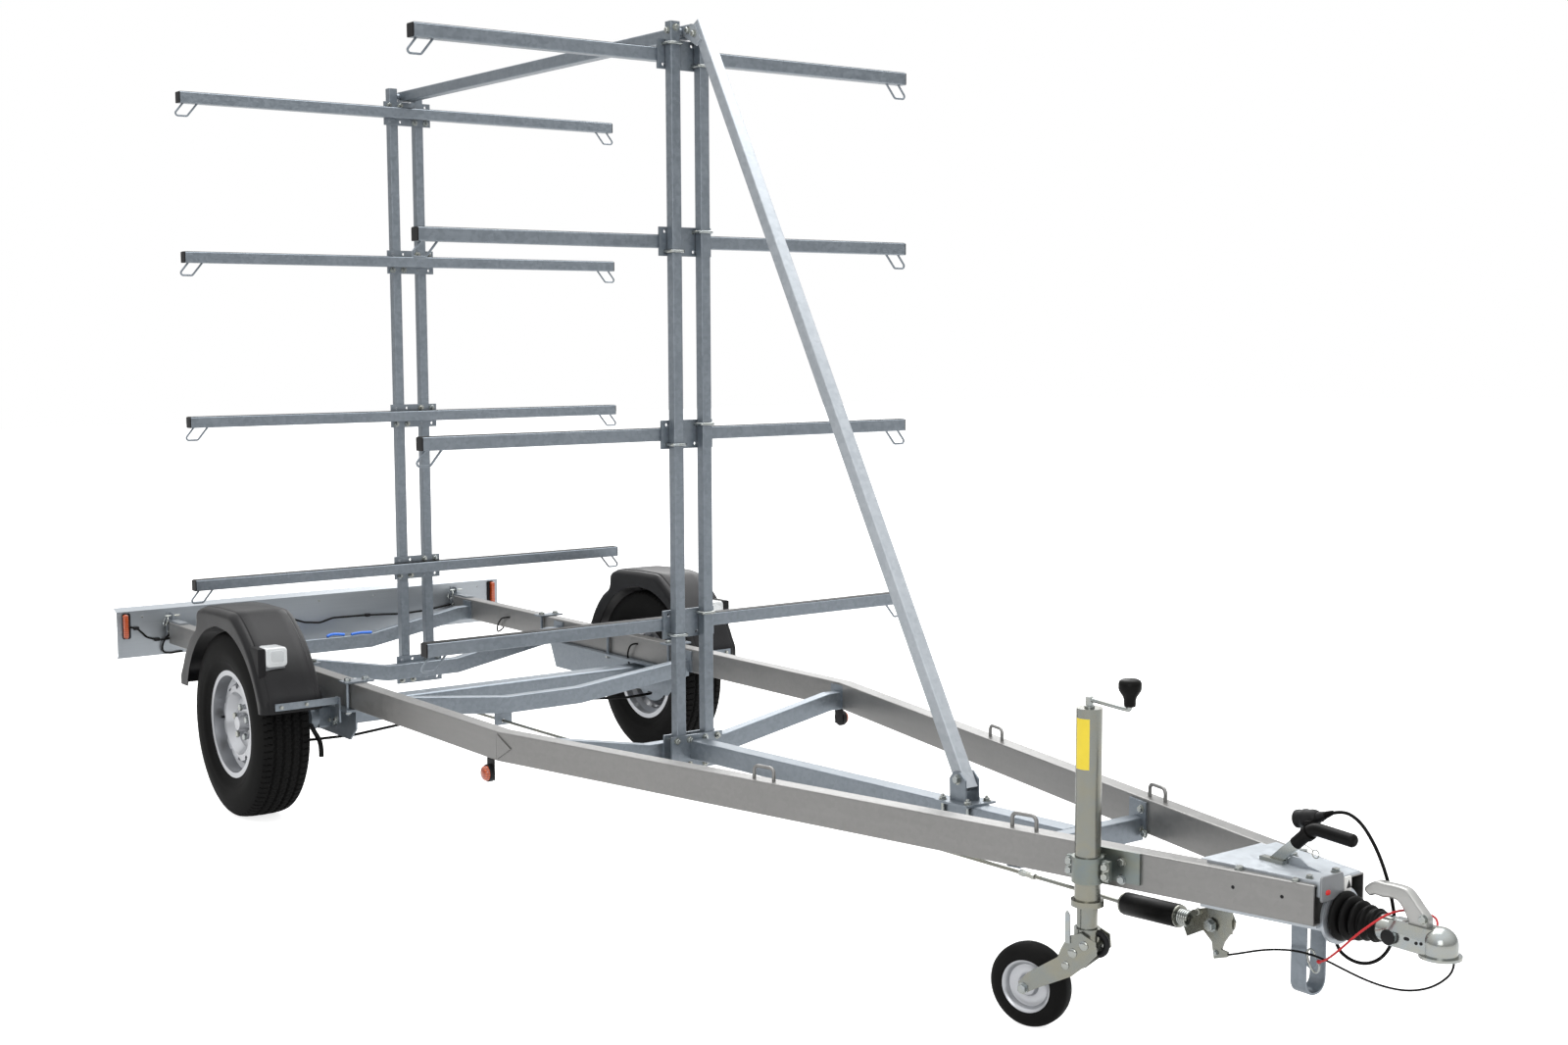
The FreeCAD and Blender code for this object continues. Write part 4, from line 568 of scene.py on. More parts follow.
def uBolt(middle, span, reach, legs, along, across, radius=0.005):
    # round bar bent to a U: two legs along one axis, joined by a straight back with tight corners
    along, across = np.asarray(along, float), np.asarray(across, float)
    bend = 0.011
    turn = np.linspace(0, math.pi / 2, 6)
    corner = np.stack([reach - bend + bend * np.sin(turn), span / 2 - bend + bend * np.cos(turn)], 1)
    half = np.concatenate([[(-legs, span / 2)], corner])
    flat = np.concatenate([half, (half * (1, -1))[::-1]])
    path = np.asarray(middle) + flat[:, :1] * along + flat[:, 1:] * across
    return sweep(path, radius, 10, np.cross(along, across))


def ringAround(centre, u, v, radius, wire, start=0.0, end=2 * math.pi, count=40):
    # wire bent round part or the whole of a circle
    a = np.linspace(start, end, count)
    path = np.asarray(centre) + radius * (np.cos(a)[:, None] * np.asarray(u) + np.sin(a)[:, None] * np.asarray(v))
    return sweep(path, wire, 8, np.cross(u, v))


def addPiece(name, parts, finish, body="chassis", slotName=None, smooth=30.0):
    # parts stood as the trailer stands, cleaned of doubled points, dressed, and put on their body
    points, faces = joined(parts)
    mesh = bpy.data.meshes.new(name)
    mesh.from_pydata(stand(points).tolist(), [], faces)
    shape = bmesh.new()
    shape.from_mesh(mesh)
    bmesh.ops.remove_doubles(shape, verts=shape.verts, dist=2e-6)
    bmesh.ops.dissolve_degenerate(shape, dist=1e-6, edges=shape.edges)
    bmesh.ops.recalc_face_normals(shape, faces=shape.faces)
    shape.to_mesh(mesh)
    shape.free()
    mesh.materials.append(finishes[finish])
    piece = bpy.data.objects.new(name, mesh)
    bpy.context.scene.collection.objects.link(piece)
    mesh.shade_smooth()
    mesh.set_sharp_from_angle(angle=math.radians(smooth))
    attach(piece, body)
    if slotName is None:
        slotName = slotOf.get(finish)
    return piece


sides = (("right", -1), ("left", 1))
ahead, leftward, upward = (1, 0, 0), (0, 1, 0), (0, 0, 1)
backward, rightward, downward = (-1, 0, 0), (0, -1, 0), (0, 0, -1)


# Road tyres. Sipes and slits are cuts: how they slant, their share of the pitch, where they lie, how deep.
tyre = {"radius": 0.333, "width": 0.195, "track": 0.869, "seatHalf": 0.071, "seatRadius": 0.178,
        "lipRadius": 0.189, "treadHalf": 0.0815, "shoulderRadius": 0.3, "grooves": (-0.046, -0.0155, 0.0155, 0.046),
        "grooveHalf": 0.00465, "grooveDepth": 0.008, "zigzag": 0.0022, "waves": 84, "sipes": 84, "around": 588,
        "sipe": {"slant": 6, "share": 0.07, "beyond": 0.055, "radius": 0.318, "depth": 0.005},
        "slit": {"slant": -9, "share": 0.09, "within": 0.05, "radius": 0.32, "depth": 0.002},
        "ring": {"height": 0.0009, "from": 0.2, "perMetre": 220, "share": 0.16, "low": 0.215, "high": 0.3}}


def tyreContour():
    # half section from the bead over the bulge and shoulder to the crown, as a smooth curve through its points
    half = tyre["width"] / 2
    keys = np.array([(tyre["seatHalf"], tyre["lipRadius"]), (half - 0.021, 0.2), (half - 0.006, 0.226),
                     (half, 0.258), (half - 0.004, 0.288), (half - 0.0125, 0.313), (half - 0.021, 0.3235),
                     (half - 0.032, 0.3282), (half - 0.055, 0.3315), (0.0, tyre["radius"])])
    return smoothPath(keys, 60)


def makeTyres():
    # the section's radius less the deepest cut at each place: grooves that zigzag as a triangle wave, sipes on the
    # shoulders and slits on the ribs between them; rings on the sidewalls push it outwards
    contour = tyreContour()
    side = contour[contour[:, 0] > tyre["treadHalf"] + 0.0005]
    crown = np.linspace(tyre["treadHalf"], -tyre["treadHalf"], 110)
    upper = contour[contour[:, 1] > tyre["shoulderRadius"]]
    upper = upper[np.argsort(upper[:, 0])]
    crownRadius = np.interp(np.abs(crown), upper[:, 0], upper[:, 1])
    seat, seatRadius = tyre["seatHalf"], tyre["seatRadius"]
    across = np.concatenate([[seat], side[:, 0], crown, -side[::-1, 0], [-seat]])
    radius = np.concatenate([[seatRadius], side[:, 1], crownRadius, side[::-1, 1], [seatRadius]])
    angle = np.linspace(0, 2 * math.pi, tyre["around"], endpoint=False)
    a, v = np.meshgrid(angle, across, indexing="ij")
    r = np.broadcast_to(radius, v.shape).copy()
    wave = np.abs(((a * tyre["waves"] / math.pi) % 2) - 1) * 2 - 1
    depth = np.zeros_like(r)
    for line in tyre["grooves"]:
        near = np.abs(v - line - tyre["zigzag"] * wave)
        depth = np.maximum(depth, tyre["grooveDepth"] * np.clip(1.4 - near / tyre["grooveHalf"], 0, 1))
    sipe, slit, ring = tyre["sipe"], tyre["slit"], tyre["ring"]
    cut = np.abs(((a * tyre["sipes"] / (2 * math.pi) + v * sipe["slant"]) % 1) - 0.5) < sipe["share"]
    cut &= (np.abs(v) > sipe["beyond"]) & (r > sipe["radius"])
    depth = np.maximum(depth, np.where(cut, sipe["depth"], 0))
    cut = np.abs(((a * tyre["sipes"] / math.pi + v * slit["slant"]) % 1) - 0.5) < slit["share"]
    cut &= (np.abs(v) < slit["within"]) & (r > slit["radius"])
    depth = np.maximum(depth, np.where(cut, slit["depth"], 0))
    raised = np.abs(((r - ring["from"]) * ring["perMetre"]) % 1 - 0.5) < ring["share"]
    raised &= (r < ring["high"]) & (r > ring["low"])
    v = v + np.sign(v) * ring["height"] * raised
    r = r - depth
    faces = gridFaces(*v.shape, wrapRows=True, wrapColumns=True)
    for name, sign in sides:
        points = np.stack([r * np.sin(a), sign * tyre["track"] + v, axle[2] + r * np.cos(a)], -1)
        piece = addPiece("tyreTread_" + name, [(points, faces)], "tyre_rubber", "wheel_" + name, smooth=34.0)
        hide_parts("tyre_" + name)


makeTyres()
print("tyres made")


# Mudguards: bearing in degrees from the wheel's centre and gap to the tyre, all round the arch
guard = {"line": [(-80.5, 0.0745), (-71.7, 0.0904), (-66.1, 0.0784), (-58.4, 0.0769), (-50.9, 0.0743),
                  (-43.1, 0.071), (-34.4, 0.0598), (-29.8, 0.1132), (-21.6, 0.1015), (-3.6, 0.0788),
                  (17.7, 0.0984), (28.2, 0.088), (38.2, 0.0829), (47.9, 0.0783), (56.5, 0.0747),
                  (65.1, 0.0737), (71.3, 0.0809), (80.3, 0.0647)],
         "outer": 0.984, "inner": 0.762, "wall": 0.004, "shoulder": 0.024, "crownRise": 0.0035, "band": 0.026,
         "bandRamp": 0.004, "crowning": ((0.06, 0.0008), (0.111, 0.0012)), "bottom": 0.428,
         "archCentre": 0.018, "archRadius": 0.352, "bend": 0.03}


def guardCrown():
    # the crown's line as (forward, height), cut off level at the guard's bottom
    bearing, gap = np.array(guard["line"]).T
    bearing, reach = np.radians(bearing), axle[2] + gap
    points = np.stack([reach * np.sin(bearing), axle[2] + reach * np.cos(bearing)], 1)
    points[[0, -1], 1] = guard["bottom"]
    return filleted(points, guard["bend"], 5)


def guardSection():
    # columns across one half: (distance in from the side, depth under the crown, share of the way to the
    # arch's edge); the band on the crown rises as 3 f squared less 2 f cubed
    rise, radius = guard["crownRise"], guard["shoulder"]
    down = [(0.0, radius, share) for share in (1.0, 0.75, 0.5, 0.25)]
    turn = np.linspace(0, math.pi / 2, 8)
    shoulder = [(radius * (1 - math.cos(a)), radius * (1 - math.sin(a)), 0.0) for a in turn]
    step = [(guard["band"] + guard["bandRamp"] * f, -rise * (3 * f * f - 2 * f ** 3), 0.0)
            for f in (0, 0.33, 0.67, 1)]
    return np.array(down + shoulder + step + [(inside, -rise - more, 0.0) for inside, more in guard["crowning"]])


def makeMudguards():
    # the section is hung along the crown's line, its flat sides running straight to the round opening
    crown = guardCrown()
    along = np.gradient(crown, axis=0)
    along /= np.linalg.norm(along, axis=1)[:, None]
    inward = np.stack([along[:, 1], -along[:, 0]], 1)
    centre = np.array((guard["archCentre"], axle[2]))
    outward = crown - centre
    edge = centre + guard["archRadius"] * outward / np.linalg.norm(outward, axis=1)[:, None]
    edge[:, 1] = np.maximum(edge[:, 1], guard["bottom"])
    reach = np.sqrt(guard["archRadius"] ** 2 - (edge[:, 1] - axle[2]) ** 2)
    edge[:, 0] = centre[0] + np.sign(outward[:, 0]) * reach
    half = guardSection()
    width = guard["outer"] - guard["inner"]
    outerSkin = np.concatenate([half, (half * (-1, 1, 1) + (width, 0, 0))[::-1]])
    innerSkin = outerSkin.copy()
    innerSkin[:, 1] = np.maximum(innerSkin[:, 1], 0) + guard["wall"]
    innerSkin[:, 0] = np.clip(innerSkin[:, 0], guard["wall"], width - guard["wall"])
    section = np.concatenate([outerSkin, innerSkin[::-1]])
    depth, share = section[:, 1][None, :, None], section[:, 2][None, :, None]
    flat = (1 - share) * (crown[:, None] + inward[:, None] * depth) + share * edge[:, None]
    flat[..., 1] = np.maximum(flat[..., 1], guard["bottom"])
    for side, sign in sides:
        y = np.broadcast_to(sign * (guard["outer"] - section[:, 0]), flat.shape[:2])
        shell = loft(np.stack([flat[..., 0], y, flat[..., 1]], -1))
        piece = addPiece("mudguardShell_" + side, [shell], "mudguard_plastic", smooth=40.0)
        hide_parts("mudguard_" + side)


makeMudguards()
print("mudguards made")


# Position lamps, blocks on the mudguard's slope: width, height, corner, y, drop, set back, edge
positionLamp = {"front": 0.3458, "height": 0.613, "sink": 0.003, "slopeStart": 0.15,
                "lens": (0.078, 0.068, 0.014, 0.909, 0.0, 0.0, 0.006),
                "base": (0.074, 0.032, 0.004, 0.912, 0.042, 0.012, 0.003),
                "holder": (0.027, 0.097, 0.006, 0.9615, 0.0145, 0.0, 0.003),
                "window": (0.05, 0.042, 0.004, 0.012), "windowPlace": (0.3438, -0.909, 0.615)}
sideLamp = {"lens": (0.019, 0.1, 0.023, 0.007), "lensPlace": (-1.4025, -0.8525, 0.507),
            "base": (0.034, 0.108, 0.008), "basePlace": (-1.4035, -0.847, 0.507), "baseThick": 0.006, "edge": 0.0015}
railMarker = {"place": (1.418, -0.677, 0.378), "radius": 0.027, "thick": 0.031, "stripHalf": 0.022,
              "strip": (0.357, 0.421), "foot": (-0.674, -0.649), "stripY": -0.674, "footHeight": 0.4199,
              "plate": 0.004, "edge": 0.001}


def onSlope(width, height, corner, y, drop, setBack, edge):
    # block whose back follows the guard's front slope and whose front is upright with rounded edges
    crown = guardCrown()
    slope = crown[crown[:, 0] > positionLamp["slopeStart"]]
    middle, front = positionLamp["height"] - drop, positionLamp["front"] - setBack
    rim = roundedOutline(width, height, corner, 6)
    back = np.interp(-(middle + rim[:, 1]), -slope[:, 1], slope[:, 0]) - positionLamp["sink"]
    layers = [np.stack([back, rim[:, 0] - y, middle + rim[:, 1]], 1)]
    for a in np.linspace(0, math.pi / 2, 5):
        shrink = 2 * edge * (1 - math.cos(a))
        x = np.maximum(front - edge * (1 - math.sin(a)), back + 0.001)
        layers.append(np.stack([x, rim[:, 0] * (1 - shrink / width) - y,
                                middle + rim[:, 1] * (1 - shrink / height)], 1))
    return loft(layers)


def makeVehicleLamps():
    # lenses, bases and holders of the lamps, drawn on the right and mirrored
    p, s, m = positionLamp, sideLamp, railMarker
    piece = addPiece("positionLenses", bothSides([onSlope(*p["lens"])]), "white_lens")
    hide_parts("position_lamps")
    window = dome(*p["window"], p["windowPlace"], leftward, upward, 0.2)
    addPiece("positionLampWindows", bothSides([window]), "silver_glass")
    addPiece("positionLampBases", bothSides([onSlope(*p["base"])]), "grey_cover", slotName="black_plastic")
    addPiece("positionLampHolders", bothSides([onSlope(*p["holder"])]), "cap_plastic")
    piece = addPiece("sideLampLenses", bothSides([dome(*s["lens"], s["lensPlace"], leftward, upward, 0.4)]),
                     "amber_lens")
    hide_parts("side_lamps")
    base = pillow(roundedOutline(*s["base"]), s["baseThick"], s["edge"], s["basePlace"], leftward, upward)
    addPiece("sideLampBases", bothSides([base]), "cap_plastic")
    glass = [(0.003, 0), (0.003, 0.9), (0.45 * m["thick"], 0.9), (0.65 * m["thick"], 0.86),
             (0.82 * m["thick"], 0.72), (0.95 * m["thick"], 0.42), (m["thick"], 0)]
    ring = [(0, 0), (0, 1), (0.42 * m["thick"], 1), (0.5 * m["thick"], 0.94), (0.42 * m["thick"], 0.86), (0.002, 0)]
    glass, ring = (lathe([(along, share * m["radius"]) for along, share in profile], m["place"], rightward, 36)
                   for profile in (glass, ring))
    x, plate, edge = m["place"][0], m["plate"], m["edge"]
    strip = pillow(rectangle(m["stripHalf"], *m["strip"]), plate, edge, (x, m["stripY"], 0), ahead, upward)
    foot = pillow(rectangle(m["stripHalf"], *m["foot"]), plate, edge, (x, 0, m["footHeight"]), ahead, leftward)
    piece = addPiece("markerLenses", bothSides([glass]), "amber_lens")
    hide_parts("rail_markers")
    addPiece("markerBrackets", bothSides([ring, strip, foot]), "cap_plastic")


makeVehicleLamps()
print("lamps made")


# Rack fittings
rack = {"bar": 0.04, "half": 0.912, "tops": (0.803, 1.405, 2.006, 2.578), "frontFace": 1.4875,
        "rearFace": -0.427, "post": 0.035, "spacing": 0.0535, "saddle": 0.008, "wire": 0.005, "legs": 0.025,
        "legClear": 0.001, "backClear": 0.006, "nut": 0.01, "footMiddle": 0.374, "footHeight": 0.06,
        "footHole": 0.041, "stud": 0.043, "shank": 0.006, "topBolt": 2.636, "sideBolt": 2.628,
        "cap": (0.04, 0.04, 0.004, 0.004), "stripHalf": 0.017, "stripThick": 0.0014, "stripEdge": 0.0004}


def makeRackFittings():
    # U-bolts round the posts with a nut on each leg, end caps and the strips on the bars' tops
    wires, nuts, caps, strips = [], [], [], []
    post, saddle, nut = rack["post"], rack["saddle"], rack["nut"]
    legGap = post / 2 + rack["wire"] + rack["legClear"]
    for face, way in ((rack["frontFace"], 1), (rack["rearFace"], -1)):
        levels = [(top - rack["bar"] / 2, rack["bar"], level) for level, top in enumerate(rack["tops"])]
        if way < 0:
            levels.append((rack["footMiddle"], rack["footHeight"], 0))
        for middle, height, level in levels:
            hole = height / 2 + rack["wire"] + rack["backClear"]
            for side in (-1, 1):
                lift = side if level < 3 else -side
                y, z = side * rack["spacing"], middle + lift * hole
                wires.append(uBolt((face + way * saddle, y, z), 2 * legGap, post + rack["wire"], rack["legs"],
                                   (way, 0, 0), leftward, rack["wire"]))
                nuts += [bolt((face, y + leg * legGap, z), (-way, 0, 0), nut) for leg in (-1, 1)]
        x = face - way * rack["bar"] / 2
        for top in rack["tops"]:
            caps.append(dome(*rack["cap"], (x, -rack["half"], top - rack["bar"] / 2), ahead, upward, 0.12))
            strips.append(pillow(rectangle(rack["stripHalf"], -rack["half"], rack["half"]), rack["stripThick"],
                                 rack["stripEdge"], (x, 0, top), ahead, leftward))
    plateBack = rack["frontFace"] + saddle + post
    for side in (-1, 1):
        for leg, lift in ((-1, -1), (-1, 1), (1, -1), (1, 1)):
            place = (side * rack["spacing"] + leg * legGap, rack["footMiddle"] + lift * rack["footHole"])
            nuts.append(bolt((plateBack + saddle, *place), ahead, nut, shank=rack["shank"]))
            nuts.append(bolt((rack["frontFace"], *place), backward, nut))
            wires.append(lathe([(0, 0), (0, rack["wire"]), (rack["stud"], rack["wire"]), (rack["stud"], 0)],
                               (rack["frontFace"] + saddle, *place), ahead, 12))
        nuts.append(bolt((plateBack, side * rack["spacing"], rack["topBolt"]), ahead, nut))
        nuts.append(bolt((plateBack - post / 2, side * (rack["spacing"] + post / 2), rack["sideBolt"]),
                         (0, side, 0), nut))
    addPiece("postUBolts", wires, "bright_zinc", smooth=40.0)
    addPiece("postNuts", nuts, "bright_zinc")
    addPiece("barEndCaps", bothSides(caps), "cap_plastic")
    addPiece("barTopStrips", strips, "cable_coat")


makeRackFittings()


# Brace: pivot bolt, cheek bolts and the clamps that hold its foot on the centre beam
brace = {"pivot": (2.796, 0, 0.516), "tilt": 1.798, "deck": 0.4515, "plate": 0.006, "lugOut": 0.0255,
         "cheekOut": 0.025, "cheekBolts": ((1.556, 2.626), (1.588, 2.612)), "along": 0.049, "across": 0.0345,
         "member": 0.065, "legs": 0.008, "wire": 0.005, "pivotBolt": 0.012, "nut": 0.01}


def makeBraceFittings():
    # bolts across the cheeks and lugs, and square to the centre beam, which slopes by the tilt
    t = math.radians(brace["tilt"])
    slope, square = np.array((math.cos(t), 0, math.sin(t))), np.array((-math.sin(t), 0, math.cos(t)))
    pivot = np.array(brace["pivot"])
    deck = pivot - square * (pivot[2] - brace["deck"]) * math.cos(t)
    nuts = []
    for side in (-1, 1):
        out = np.array((0, side, 0))
        nuts.append(bolt(pivot + out * brace["lugOut"], out, brace["pivotBolt"]))
        nuts += [bolt((x, side * brace["cheekOut"], z), out, brace["nut"]) for x, z in brace["cheekBolts"]]
        nuts += [bolt(deck + square * brace["plate"] + slope * along + out * brace["across"], square, brace["nut"],
                      shank=0.006) for along in (-brace["along"], brace["along"])]
    wires = [uBolt(deck + slope * along, 2 * brace["across"], brace["member"], brace["legs"], -square, leftward,
                   brace["wire"]) for along in (-brace["along"], brace["along"])]
    addPiece("braceNuts", nuts, "bright_zinc")
    addPiece("braceUBolts", wires, "bright_zinc", smooth=40.0)


makeBraceFittings()
print("rack fittings made")


# Rails, axle brackets and stays. Bolt rows: places, direction, thread.
chassis = {"railTop": 0.514, "railBottom": 0.424, "railMiddle": 0.66, "flange": 0.008, "plate": 0.006,
           "clamps": (-0.54, -0.01, 0.43), "rodOut": 0.033, "rod": 0.012, "slope": 13.349, "bend": 1.476,
           "outer": 0.685, "throughRail": 0.0574, "endBolts": ((3.2323, 0.4345), (3.2495, 0.426), (3.2323, 0.486)),
           "endBolt": 0.01, "railHoles": (3.813, 3.9254), "holeHeight": 0.477,
           "bracketBolts": ((0.2, -0.663, 0.347), (0.255, -0.663, 0.347)),
           "stayBolts": ((0.4035, -0.92, 0.45), (0.4035, -0.83, 0.452)), "stayBolt": 0.006,
           "strapBolts": ((0.39, -0.719, 0.385), (0.39, -0.719, 0.452)), "strapBolt": 0.008,
           "housingBolts": ((3.8147, -0.112, 0.514, 0.01), (3.9485, -0.088, 0.514, 0.008),
                            (3.965, -0.062, 0.52, 0.008), (3.97, 0.0222, 0.52, 0.01),
                            (3.8327, 0.0529, 0.52, 0.01), (3.8147, 0.112, 0.514, 0.01))}


def railFace(x):
    # the right rail's outer face at x, beyond its bend
    return -(chassis["outer"] - max(0.0, x - chassis["bend"]) * math.tan(math.radians(chassis["slope"])))


def makeChassisFittings():
    # clamp nuts above and below the rails, stay and strap bolts, and what lies square to the drawbar's slope
    nuts = []
    for x in chassis["clamps"]:
        for out in (-1, 1):
            y = -chassis["railMiddle"] + out * chassis["rodOut"]
            nuts.append(bolt((x, y, chassis["railTop"] + chassis["plate"]), upward, chassis["rod"]))
            nuts.append(bolt((x, y, chassis["railBottom"] - chassis["flange"]), downward, chassis["rod"]))
    nuts += [bolt(place, rightward, chassis["rod"]) for place in chassis["bracketBolts"]]
    screws = [bolt(place, ahead, chassis["stayBolt"]) for place in chassis["stayBolts"]]
    screws += [bolt(place, rightward, chassis["strapBolt"]) for place in chassis["strapBolts"]]
    c, s = math.cos(math.radians(chassis["slope"])), math.sin(math.radians(chassis["slope"]))
    # dark discs on the rail's face: painted shade inside its holes, not caps
    dark = [lathe([(0, 0), (0, 0.0042), (0.0006, 0.0036), (0.0006, 0)], (x, railFace(x), chassis["holeHeight"]),
                  (s, -c, 0), 16) for x in chassis["railHoles"]]
    nuts += [bolt((x, -railFace(x) - chassis["throughRail"], z), (-s, -c, 0), chassis["endBolt"])
             for x, z in chassis["endBolts"]]
    addPiece("bracketNuts", bothSides(nuts), "bright_zinc")
    addPiece("stayScrews", bothSides(screws), "bright_zinc")
    addPiece("railHoles", dark, "cap_plastic", slotName="")
    addPiece("housingBolts", [bolt(place, upward, size) for *place, size in chassis["housingBolts"]], "bright_zinc")


makeChassisFittings()


# Hose by the axle, the two cables that leave holes in the far rail, and the wiring's near end
loose = {
    "breatherHose": ([(0.19, -0.729, 0.335), (0.25, -0.742, 0.322), (0.3, -0.752, 0.313), (0.332, -0.757, 0.3),
        (0.346, -0.759, 0.278), (0.349, -0.76, 0.251)], 0.0085),
    "farRailCableFront": ([(0.2015, 0.637, 0.4863), (0.192, 0.628, 0.487), (0.168, 0.62, 0.476),
        (0.146, 0.622, 0.44), (0.145, 0.628, 0.402)], 0.0035),
    "farRailCableRear": ([(-0.8346, 0.637, 0.4725), (-0.846, 0.629, 0.473), (-0.885, 0.621, 0.462),
        (-0.925, 0.624, 0.426), (-0.936, 0.632, 0.4), (-0.93, 0.652, 0.412), (-0.925, 0.655, 0.425)], 0.0035),
    "boardLead": ([(-1.3985, -0.848, 0.503), (-1.396, -0.828, 0.5), (-1.396, -0.808, 0.495),
        (-1.396, -0.784, 0.474), (-1.396, -0.764, 0.454), (-1.396, -0.724, 0.441), (-1.396, -0.69, 0.438),
        (-1.394, -0.665, 0.446), (-1.396, -0.65, 0.484)], 0.004),
    "boardLoop": ([(-1.396, -0.648, 0.47), (-1.393, -0.667, 0.46), (-1.391, -0.69, 0.442),
        (-1.391, -0.704, 0.41), (-1.393, -0.697, 0.386), (-1.395, -0.67, 0.378), (-1.396, -0.64, 0.38),
        (-1.396, -0.618, 0.381)], 0.004)}
board = {"face": -1.403, "clips": ((-0.808, 0.495), (-0.724, 0.441), (-0.137, 0.475), (0.226, 0.457),
                                   (0.66, 0.468)),
         "clip": (0.022, 0.014, 0.003), "clipDepth": 0.012, "clipEdge": 0.002,
         "ties": (([(-1.212, -0.05, 0.41), (-1.214, -0.02, 0.416), (-1.21, 0.03, 0.411)], 0.006),
                  ([(-1.206, 0.06, 0.409), (-1.208, 0.1, 0.412), (-1.205, 0.155, 0.41)], 0.0055)),
         "pinX": -1.384, "pinY": 0.66, "pinHeight": 0.536, "pinReach": 0.03, "pinRadius": 0.0045, "ring": 0.021,
         "ringWire": 0.0022, "screwX": -1.394, "screwOut": 0.012, "screwHeight": 0.47, "screw": 0.006,
         "rivetHeight": 0.54, "rivetSpan": 0.78, "rivets": 7}


def makeLooseLines():
    # smooth tubes through the lines' points, and the clips that hold the wiring to the board
    for name, (points, radius) in loose.items():
        addPiece(name, [sweep(smoothPath(points, 44), radius, 12, (0.21, 0.31, 0.93))], "cable_coat", smooth=50.0)
    grips = [pillow(roundedOutline(*board["clip"]), board["clipDepth"], board["clipEdge"], (board["face"], y, z),
                    leftward, upward) for y, z in board["clips"]]
    addPiece("boardClips", grips, "cap_plastic")
    addPiece("blueTies", [sweep(smoothPath(points, 20), radius, 10) for points, radius in board["ties"]],
             "blue_part", smooth=50.0)


makeLooseLines()


def makeBoardPins():
    # spring pins through the lugs that hold the light board on the rails' ends, with their split rings
    parts = []
    for y in (-board["pinY"], board["pinY"]):
        ends = [(board["pinX"], y + way * board["pinReach"], board["pinHeight"]) for way in (-1, 1)]
        parts.append(sweep(ends, board["pinRadius"], 12))
        parts.append(ringAround((board["pinX"] + 0.004, ends[0][1], board["pinHeight"] - board["ring"] * 0.9),
                                (0, 0.35, 0.937), ahead, board["ring"], board["ringWire"], 0.2, 2 * math.pi - 0.1))
        parts += [bolt((board["screwX"], y + side * board["screwOut"], board["screwHeight"]), ahead, board["screw"])
                  for side in (-1, 1)]
    addPiece("boardPins", parts, "bright_zinc", smooth=40.0)
    rivets = [lathe([(0, 0), (0, 0.004), (0.0012, 0.0032), (0.0018, 0)], (board["face"], y, board["rivetHeight"]),
                    ahead, 14) for y in np.linspace(-board["rivetSpan"], board["rivetSpan"], board["rivets"])]
    addPiece("boardRivets", rivets, "bright_zinc", smooth=40.0)


makeBoardPins()
print("chassis fittings made")


# Coupling. The handle's outline is given from the ball's centre.
coupling = {"shaft": 0.436, "bellowsStart": 4.004, "bellowsEnd": 4.108, "bellows": 0.059, "taper": 0.022,
            "folds": 5, "foldDepth": 0.015, "sleeve": 0.029, "bore": 0.026, "ball": (4.25, 0.428),
            "handleHalf": 0.013, "handleEdge": 0.006,
            "handle": [(-0.03, 0.028), (-0.025, 0.05), (-0.034, 0.064), (-0.046, 0.076), (-0.061, 0.092),
                       (-0.078, 0.105), (-0.1, 0.108), (-0.131, 0.107), (-0.156, 0.106), (-0.177, 0.092),
                       (-0.182, 0.081), (-0.169, 0.071), (-0.155, 0.076), (-0.135, 0.075), (-0.113, 0.078),
                       (-0.099, 0.075), (-0.086, 0.063), (-0.074, 0.043), (-0.066, 0.028)],
            "handleBolt": (4.217, -0.013, 0.48), "damperCap": (4.148, -0.0365, 0.43),
            "slots": ((4.19, 0.436, 0.013), (4.214, 0.433, 0.007), (4.226, 0.435, 0.007)), "slotHeight": 0.007,
            "neckStart": 4.138, "neckLength": 0.112, "neckHalf": 0.0292, "neckGrowth": 0.0055,
            "panel": (0.076, 0.056, 0.006), "panelPlace": (4.003, -0.039, 0.505),
            "pale": (0.024, 0.036, 0.004), "palePlace": (4.003, 0.016, 0.502),
            "arrow": [(-0.008, -0.012), (0.008, -0.012), (0.0, 0.006)], "arrowPlace": (4.008, 0.018, 0.506),
            "dot": (0.015, 0.011, 0.003, 0.0045), "dotPlace": (4.0085, -0.0559, 0.497),
            "ring": (3.948, -0.02, 0.562), "ringRadius": 0.009, "ringWire": 0.0014, "linkWire": 0.0011,
            "link": [(3.915, -0.019, 0.577), (3.93, -0.021, 0.574), (3.941, -0.02, 0.568)]}


def makeBellows():
    # round folds: the crest is the start radius less the taper times the share of folds to the power 0.8, and
    # between crests the radius drops by the fold's depth
    start, end, folds = coupling["bellowsStart"], coupling["bellowsEnd"], coupling["folds"]
    t = np.linspace(0, 1, 121)
    phase = t * folds
    crest = coupling["bellows"] - coupling["taper"] * np.clip(phase / (folds - 1), 0, 1) ** 0.8
    wave = np.abs(np.cos(math.pi * (phase - 0.5))) ** 0.6
    radius = np.maximum(crest - coupling["foldDepth"] * (1 - wave), coupling["sleeve"] + 0.004)
    profile = np.stack([t * (end - start), radius], 1)
    bore = coupling["bore"]
    profile = np.concatenate([[(0, bore)], profile, [(end - start, bore), (0, bore)]])
    piece = addPiece("rubberBellows", [lathe(profile, (start, 0, coupling["shaft"]), ahead, 64)], "black_rubber",
                     smooth=50.0)
    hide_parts("coupling_bellows")


